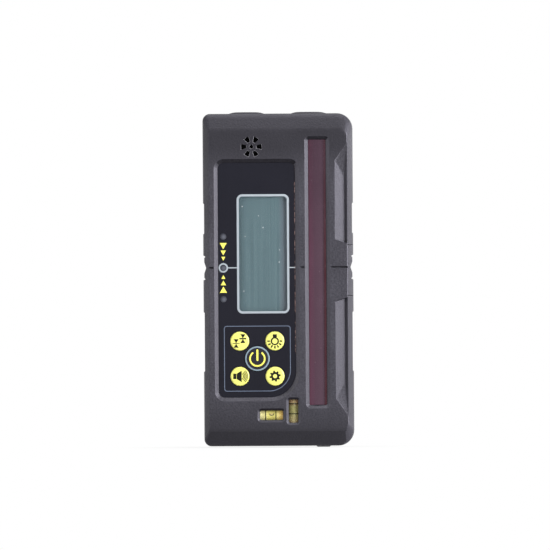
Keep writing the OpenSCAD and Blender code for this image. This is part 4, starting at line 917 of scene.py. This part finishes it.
def disc_ring(name, outer, inner, at=(0, 0), keep=None, points=72):
    """A ring, or the arc of it whose angles pass a test"""
    select_none()
    bpy.ops.mesh.primitive_circle_add(vertices=points, radius=outer, fill_type="NGON")
    obj = begin(name)
    bpy.ops.mesh.inset(thickness=outer - inner)
    bpy.ops.mesh.delete(type="FACE")
    if keep:
        pick(obj, "FACE", lambda p: not keep(math.degrees(math.atan2(p.y, p.x))))
        bpy.ops.mesh.delete(type="FACE")
    return settle(obj, at, 0)


def wedge(name, width, height, at, upwards):
    """A triangle that points up or down"""
    obj = sheet(name, width, height)
    pick(obj, "VERT", lambda p: (p.y > 0) == upwards)
    bpy.ops.mesh.merge(type="CENTER")
    return settle(obj, at, 0)


def joined(name, shapes):
    take(shapes[0])
    for shape in shapes[1:]:
        shape.select_set(True)
    bpy.ops.object.join()
    shapes[0].name = shapes[0].data.name = name
    return shapes[0]


def gridded(obj, step, reach):
    """Cuts a drawing along a grid, so that it can bend with the face it is laid on"""
    edit_all(obj)
    lines = [step * (i + 0.5) for i in range(-math.ceil(reach / step), math.ceil(reach / step))]
    for across in ((1, 0, 0), (0, 1, 0)):
        for at in lines:
            bpy.ops.mesh.select_all(action="SELECT")
            bpy.ops.mesh.bisect(plane_co=[at * c for c in across], plane_no=across)
    bpy.ops.object.mode_set(mode="OBJECT")


def print_on(obj, u, v, face_y, finish, body, carrier=None):
    """Stands a drawing up on a face, lays it on the carrier's crown if it has one, and inks it"""
    take(obj)
    obj.scale = (MM, MM, MM)
    obj.rotation_euler = (math.pi / 2, 0, 0)
    obj.location = (u * MM, face_y * MM, v * MM)
    at_origin(obj)
    if carrier:
        apply_modifier(
            obj, "SHRINKWRAP", target=carrier, wrap_method="PROJECT", use_project_y=True,
            use_project_x=False, use_project_z=False, use_positive_direction=True,
            use_negative_direction=True,
        )
    apply_modifier(obj, "SOLIDIFY", thickness=(INK + SUNK) * MM, offset=2 * INK / (INK + SUNK) - 1)
    dress(obj, finish)
    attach(obj, body)


print("panel face at y", round(PANEL_FACE, 2), "mm, base at z", round(BASE_LIFT, 2), "mm")

# %% [markdown]
# ### Marks on the panel
# A white line frames the display. On its left are three lamps, one above the other: the beam is too high,
# on grade or too low. Yellow arrows of three sizes lead to the middle one, which has a
# white ring and a level line through it. A thin frame with one large corner holds the keys.

# %% Print the panel
def box_middle(node):
    """The middle of a solid's box, in millimetres"""
    return [c / MM for c in middle_of(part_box(node))]


pane_low, pane_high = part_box("display_window")
frame_w, frame_h = ((pane_high[i] - pane_low[i]) / MM for i in (0, 2))
display_u, _, display_v = box_middle("display_window")
lamp_u, _, lamp_v = box_middle("lamp_lenses")
panel_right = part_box("control_panel")[1][0] / MM

FRAME_LINE = 1.1
LEVEL_LINE = 0.55
RING_OUTER, RING_INNER = 2.4, 1.64
KEY_FRAME = (-27.75, 6.0, 27.75, 61.0)
KEY_LINE = 0.36
ARROWS = ((3.55, 3.1, 101.5), (2.65, 2.4, 98.05), (2.0, 1.9, 95.1))


def on_panel(obj, u, v, finish):
    print_on(obj, u, v, PANEL_FACE, finish, "housing")


display_line = hollowed(plate("display_line", frame_w, frame_h, (2.8,) * 4), FRAME_LINE)
on_panel(display_line, display_u, display_v, ink_white)

ring_right = lamp_u + RING_OUTER
frame_left = display_u - frame_w / 2
frame_right = display_u + frame_w / 2
level_marks = joined("level_marks", [
    disc_ring("lamp_ring", RING_OUTER, RING_INNER),
    plate("level_left", frame_left - ring_right, LEVEL_LINE, SQUARE,
          ((frame_left + ring_right) / 2 - lamp_u, 0)),
    plate("level_right", panel_right - frame_right, LEVEL_LINE, SQUARE,
          ((panel_right + frame_right) / 2 - lamp_u, 0)),
])
on_panel(level_marks, lamp_u, lamp_v, ink_white)

arrows = []
for width, height, v in ARROWS:
    offset = v + BASE_LIFT - lamp_v
    arrows.append(wedge("arrow_down", width, height, (0, offset), False))
    arrows.append(wedge("arrow_up", width, height, (0, -offset), True))
on_panel(joined("grade_arrows", arrows), lamp_u, lamp_v, ink_yellow)

left, right, low, high = KEY_FRAME
key_line = hollowed(plate("key_line", right - left, high - low, (1.4, 10.9, 1.4, 1.4)), KEY_LINE)
on_panel(key_line, (left + right) / 2, (low + high) / 2 + BASE_LIFT, ink_slate)
print("panel marks:", display_line.name, level_marks.name, "grade_arrows", key_line.name)

# %% [markdown]
# ### Yellow keys
# The four small keys are rubber caps with a soft shoulder, which shows the soft boxes on the right as a
# pale crescent. Each cap starts as a disc, its flange. It is extruded up through the panel, and then inset
# and raised ring by ring, so that the shoulder is steep outside and nearly flat towards the middle.

# %% Shape the yellow keys
FLANGE_T = 0.8
KEY_POINTS = 96
KEY_RINGS = (
    (4.75, 0.1), (4.7, 0.2), (4.6, 0.3), (4.45, 0.39), (4.25, 0.465), (4.0, 0.525), (3.6, 0.57), (3.0, 0.6),
    (2.0, 0.63), (1.0, 0.645))


def raised(height):
    """Moves what is selected towards the front, by millimetres"""
    bpy.ops.transform.translate(value=(0, -height * MM, 0))


def soft_key(name):
    node = f"{name}_key"
    u, _, v = box_middle(node)
    low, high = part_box(node)
    flange_r, back = (high[0] - low[0]) / 2, high[1]
    select_none()
    bpy.ops.mesh.primitive_circle_add(
        vertices=KEY_POINTS, radius=flange_r, fill_type="NGON", location=(u * MM, back, v * MM),
        rotation=(math.pi / 2, 0, 0))
    cap = begin(f"{name}_cap")
    bpy.ops.mesh.extrude_region_move()
    raised(FLANGE_T)
    (radius, height), *rings = KEY_RINGS
    bpy.ops.mesh.inset(thickness=flange_r - radius * MM)
    bpy.ops.mesh.extrude_region_move()
    raised(back / MM - FLANGE_T - PANEL_FACE + height)
    for next_radius, next_height in rings:
        bpy.ops.mesh.inset(thickness=(radius - next_radius) * MM)
        raised(next_height - height)
        radius, height = next_radius, next_height
    face_outwards()
    at_origin(cap)
    smoothed(cap, SMOOTH_ANGLE)
    dress(cap, key_yellow)
    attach(cap, node)
    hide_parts(node)
    return cap


key_caps = {f"{name}_key": soft_key(name) for name in ("accuracy", "backlight", "sound", "set")}

# %% [markdown]
# ### Signs on the keys
# Each key has a sign that needs no words: narrow and wide bands for the accuracy, a lamp for the backlight,
# a loudspeaker for the sound, a cog wheel for the settings and the usual bar in a ring for the power.
# The keys are slightly crowned, so each sign is laid on its key by a shrinkwrap before it gets its
# thickness, and it rides on the key, because it moves when the key is pressed.

# %% Print the keys
SIGN_GRID, SIGN_REACH = 0.4, 6
BAND_LINE = 3.5


def on_key(obj, node, finish, grid=SIGN_GRID):
    u, _, v = box_middle(node)
    if grid:
        gridded(obj, grid, SIGN_REACH)
    print_on(obj, u, v, IN_FRONT, finish, node, key_caps.get(node, nodes[node]))


def band_pair(name, at, width, height, gap, line):
    x, y = at
    return [
        wedge(name, width, height, (x, y + gap / 2 + height / 2), False),
        wedge(name, width, height, (x, y - gap / 2 - height / 2), True),
        plate(name, BAND_LINE, line, SQUARE, at),
    ]


accuracy_sign = joined("accuracy_sign", (
    band_pair("wide", (1.6, 1.28), 2.6, 2.05, 0.4, 0.66)
    + band_pair("narrow", (-1.8, -1.15), 2.5, 2.0, 0.3, 0.34)))
on_key(accuracy_sign, "accuracy_key", ink_black)

RAY_REACH, BULB_V = 3.1, -0.1
rays = [plate("ray", 1.3, 0.72, SQUARE, (RAY_REACH * math.cos(a), BULB_V + RAY_REACH * math.sin(a)), a)
        for a in (math.radians(-30 * i) for i in range(7))]
lamp_neck = wedge("neck", 2.6, 1.0, (0, 1.75), True)
lamp_sign = joined("lamp_sign", [
    disc_ring("bulb", 2.1, 1.36, (0, BULB_V), points=48), plate("base", 2.1, 1.6, (0.2,) * 4, (0, 2.6)),
    lamp_neck, *rays])
on_key(lamp_sign, "backlight_key", ink_black)

HORN_BACK, HORN_MOUTH = 2.7, 5.9
horn = sheet("horn", 2.5, HORN_BACK)
pick(horn, "VERT", lambda p: p.x > 0)
bpy.ops.transform.resize(value=(1, HORN_MOUTH / HORN_BACK, 1))
horn = settle(horn, (-0.35, 0), 0)
speaker_sign = joined("speaker_sign", [plate("magnet", 1.6, HORN_BACK, SQUARE, (-2.6, 0)), horn])
on_key(speaker_sign, "sound_key", ink_black)
WAVE_HALF = 0.2
sound_waves = joined("sound_waves", [
    disc_ring("wave", r + WAVE_HALF, r - WAVE_HALF, keep=lambda a: abs(a) < 48)
    for r in (1.8, 2.5, 3.2, 3.9)])
on_key(sound_waves, "sound_key", ink_olive)

COG_POINTS, COG_FOOT, COG_TOOTH, COG_HOLE, COG_TURN = 32, 2.1, 1.36, 1.05, 5.6
COG_STEP = 360 / COG_POINTS
select_none()
bpy.ops.mesh.primitive_circle_add(vertices=COG_POINTS, radius=COG_FOOT)
cog = begin("cog_sign")
pick(cog, "VERT", lambda p: round(math.degrees(math.atan2(p.y, p.x)) / COG_STEP + 2 * COG_POINTS) % 4 < 2)
bpy.ops.transform.resize(value=(COG_TOOTH, COG_TOOTH, 1))
bpy.ops.mesh.select_all(action="DESELECT")
bpy.ops.mesh.primitive_circle_add(vertices=COG_POINTS, radius=COG_HOLE)
bpy.ops.mesh.select_all(action="SELECT")
bpy.ops.mesh.bridge_edge_loops()
face_outwards()
on_key(settle(cog, (0, 0), math.radians(COG_TURN)), "set_key", ink_black)

power_sign = joined("power_sign", [
    disc_ring("power_ring", 4.1, 3.3, keep=lambda a: abs(a - 90) > 34),
    plate("power_bar", 0.95, 5.9, (0.4,) * 4, (0, 1.75))])
on_key(power_sign, "power_key", ink_yellow)
power_rim = disc_ring("power_rim", 6.22, 5.5)
edit_all(power_rim)
bpy.ops.mesh.subdivide(number_cuts=3)
bpy.ops.object.mode_set(mode="OBJECT")
on_key(power_rim, "power_key", ink_blue, grid=None)
print("key signs:", accuracy_sign.name, lamp_sign.name, speaker_sign.name, cog.name, power_sign.name)

# %% [markdown]
# ### Film of the display
# The front film of a display lies against the back of its window, so the frame throws only a narrow
# shadow on it. It is one thin plate, as large as the opening in the frame.

# %% Lay the display's film
FILM_T = 0.1
FILM_LAP = 0.2

film_w, film_h = (size - 2 * FRAME_LINE + FILM_LAP for size in (frame_w, frame_h))
film_y = pane_high[1] / MM + FILM_T
display_film = plate("display_film", film_w, film_h, (1.8,) * 4)
print_on(display_film, display_u, display_v, film_y, display_teal, "housing")

# %% [markdown]
# ### Glue along the panel
# The panel is stuck into its bed, and a thin uneven bead of brown glue has come up along its right edge.
# It is a narrow plate, and its finish breaks it into dashes by being clear in between.

# %% Lay the bead of glue
GLUE_W = 0.34
GLUE_ENDS = (47.0, 141.0)

dried_glue, tree, shader, place = new_finish("dried_glue")
lumps = use(tree, grain, place, Grain_mm=1.3, Cloud_mm=9)
feed(shader, "Base Color", blend_colours(tree, lumps["Tone"], (74, 52, 52), (142, 116, 112)))
feed(shader, "Alpha", spread(tree, lumps["Tone"], 0, 1, 0.46, 0.56))
feed(shader, "Roughness", spread(tree, lumps["Height"], 0.3, 0.6))
roughen(tree, shader, lumps["Height"], 0.05, 0.6)

low, high = GLUE_ENDS
glue_bead = plate("glue_bead", GLUE_W, high - low, (0.12,) * 4)
on_panel(glue_bead, panel_right - GLUE_W / 2, (low + high) / 2 + BASE_LIFT, dried_glue)
print("glue bead:", glue_bead.name)

# %% [markdown]
# ### Bubble
# The vial's bubble is a hollow in the fluid. From the front its lower edge shows as a dark bow with a
# pale glint inside it. The bow is drawn as painted shade and the glint as a painted highlight, like the
# signs, and both are laid on the fluid.

# %% Draw the bubble
BUBBLE_UP = 1.15


def lower_half(angle):
    return -165 < angle < -15


level_u, _, level_v = box_middle("horizontal_vial_fluid")
bubble_bow = disc_ring("bubble_bow", 1.5, 0.85, keep=lower_half)
bubble_glint = disc_ring("bubble_glint", 0.83, 0.3, keep=lower_half)
# Painted shade for the bow and a painted highlight for the glint
for mark, finish in ((bubble_bow, ink_olive), (bubble_glint, bubble_glint_paint)):
    gridded(mark, SIGN_GRID, 2)
    print_on(mark, level_u, level_v + BUBBLE_UP, IN_FRONT, finish, "housing",
             nodes["horizontal_vial_fluid"])
print("bubble:", bubble_bow.name, bubble_glint.name)

# %% [markdown]
# ## Vial rings
# Two dark rings on each vial mark where the bubble sits when the receiver is level or plumb.
# A ring is a circle, extruded along the tube and given a skin's thickness.

# %% Paint the rings on the vials
RING_WIDTH = 0.5
RING_GAP = 0.01
RING_SMOOTH = 40
RING_POINTS = 64
LEVEL_RINGS, PLUMB_RINGS = (-6.95, -1.7), (16.3, 21.4)


def vial_ring(name, node, axis, place_mm):
    low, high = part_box(node)
    middle = middle_of((low, high))
    middle[axis] = place_mm * MM
    radius = (high[1] - low[1]) / 2 + RING_GAP * MM
    select_none()
    turned = (0, math.pi / 2, 0) if axis == 0 else (0, 0, 0)
    bpy.ops.mesh.primitive_circle_add(
        vertices=RING_POINTS, radius=radius, location=middle, rotation=turned)
    obj = begin(name)
    step = Vector((0, 0, 0))
    step[axis] = RING_WIDTH * MM
    bpy.ops.mesh.extrude_region_move(TRANSFORM_OT_translate={"value": step})
    face_outwards()
    at_origin(obj)
    apply_modifier(obj, "SOLIDIFY", thickness=INK * MM, offset=-0.2)
    smoothed(obj, RING_SMOOTH)
    dress(obj, ink_black)
    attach(obj, "housing")


for number, u in enumerate(LEVEL_RINGS, 1):
    vial_ring(f"level_ring_{number}", "horizontal_vial", 0, u - RING_WIDTH / 2)
for number, v in enumerate(PLUMB_RINGS, 1):
    vial_ring(f"plumb_ring_{number}", "vertical_vial", 2, v + BASE_LIFT - RING_WIDTH / 2)
print("vial rings: 4")

# %% [markdown]
# ## Clamp thread
# A rod clamp screws into the brass insert at the back, so its bore has a thread of twenty turns to the
# inch. One tooth is drawn as a triangle, and a screw modifier winds it along the bore.

# %% Wind the thread
THREAD_PITCH, THREAD_TURNS = 1.27, 6
BORE_R, TOOTH, TOOTH_FOOT = 2.56, 0.24, 0.95
THREAD_STEPS = 40
THREAD_START = 0.4

insert_u, _, insert_v = box_middle("clamp_insert")
insert_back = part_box("clamp_insert")[1][1] / MM
clamp_thread = sheet("clamp_thread", TOOTH, TOOTH_FOOT * THREAD_PITCH)
pick(clamp_thread, "VERT", lambda p: p.x < 0)
bpy.ops.mesh.merge(type="CENTER")
bpy.ops.mesh.select_all(action="SELECT")
bpy.ops.transform.translate(value=(BORE_R - TOOTH / 2, 0, 0))
bpy.ops.mesh.delete(type="ONLY_FACE")
apply_modifier(
    clamp_thread, "SCREW", axis="Y", angle=2 * math.pi, screw_offset=THREAD_PITCH,
    iterations=THREAD_TURNS, steps=THREAD_STEPS, render_steps=THREAD_STEPS, use_merge_vertices=False,
)
take(clamp_thread)
bpy.ops.object.mode_set(mode="EDIT")
bpy.ops.mesh.select_mode(type="EDGE")
bpy.ops.mesh.select_all(action="DESELECT")
bpy.ops.mesh.select_non_manifold()
bpy.ops.mesh.fill()
face_outwards()
take(clamp_thread)
clamp_thread.scale = (MM, MM, MM)
clamp_thread.location = (
    insert_u * MM, (insert_back - THREAD_START - THREAD_PITCH * (THREAD_TURNS + 0.5)) * MM, insert_v * MM)
at_origin(clamp_thread)
smoothed(clamp_thread, SMOOTH_ANGLE)
dress(clamp_thread, brass)
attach(clamp_thread, "housing")
thread_ys = [v.co.y / MM for v in clamp_thread.data.vertices]
print("thread from y", round(min(thread_ys), 2), "to", round(max(thread_ys), 2), "mm, faces:",
      len(clamp_thread.data.polygons))
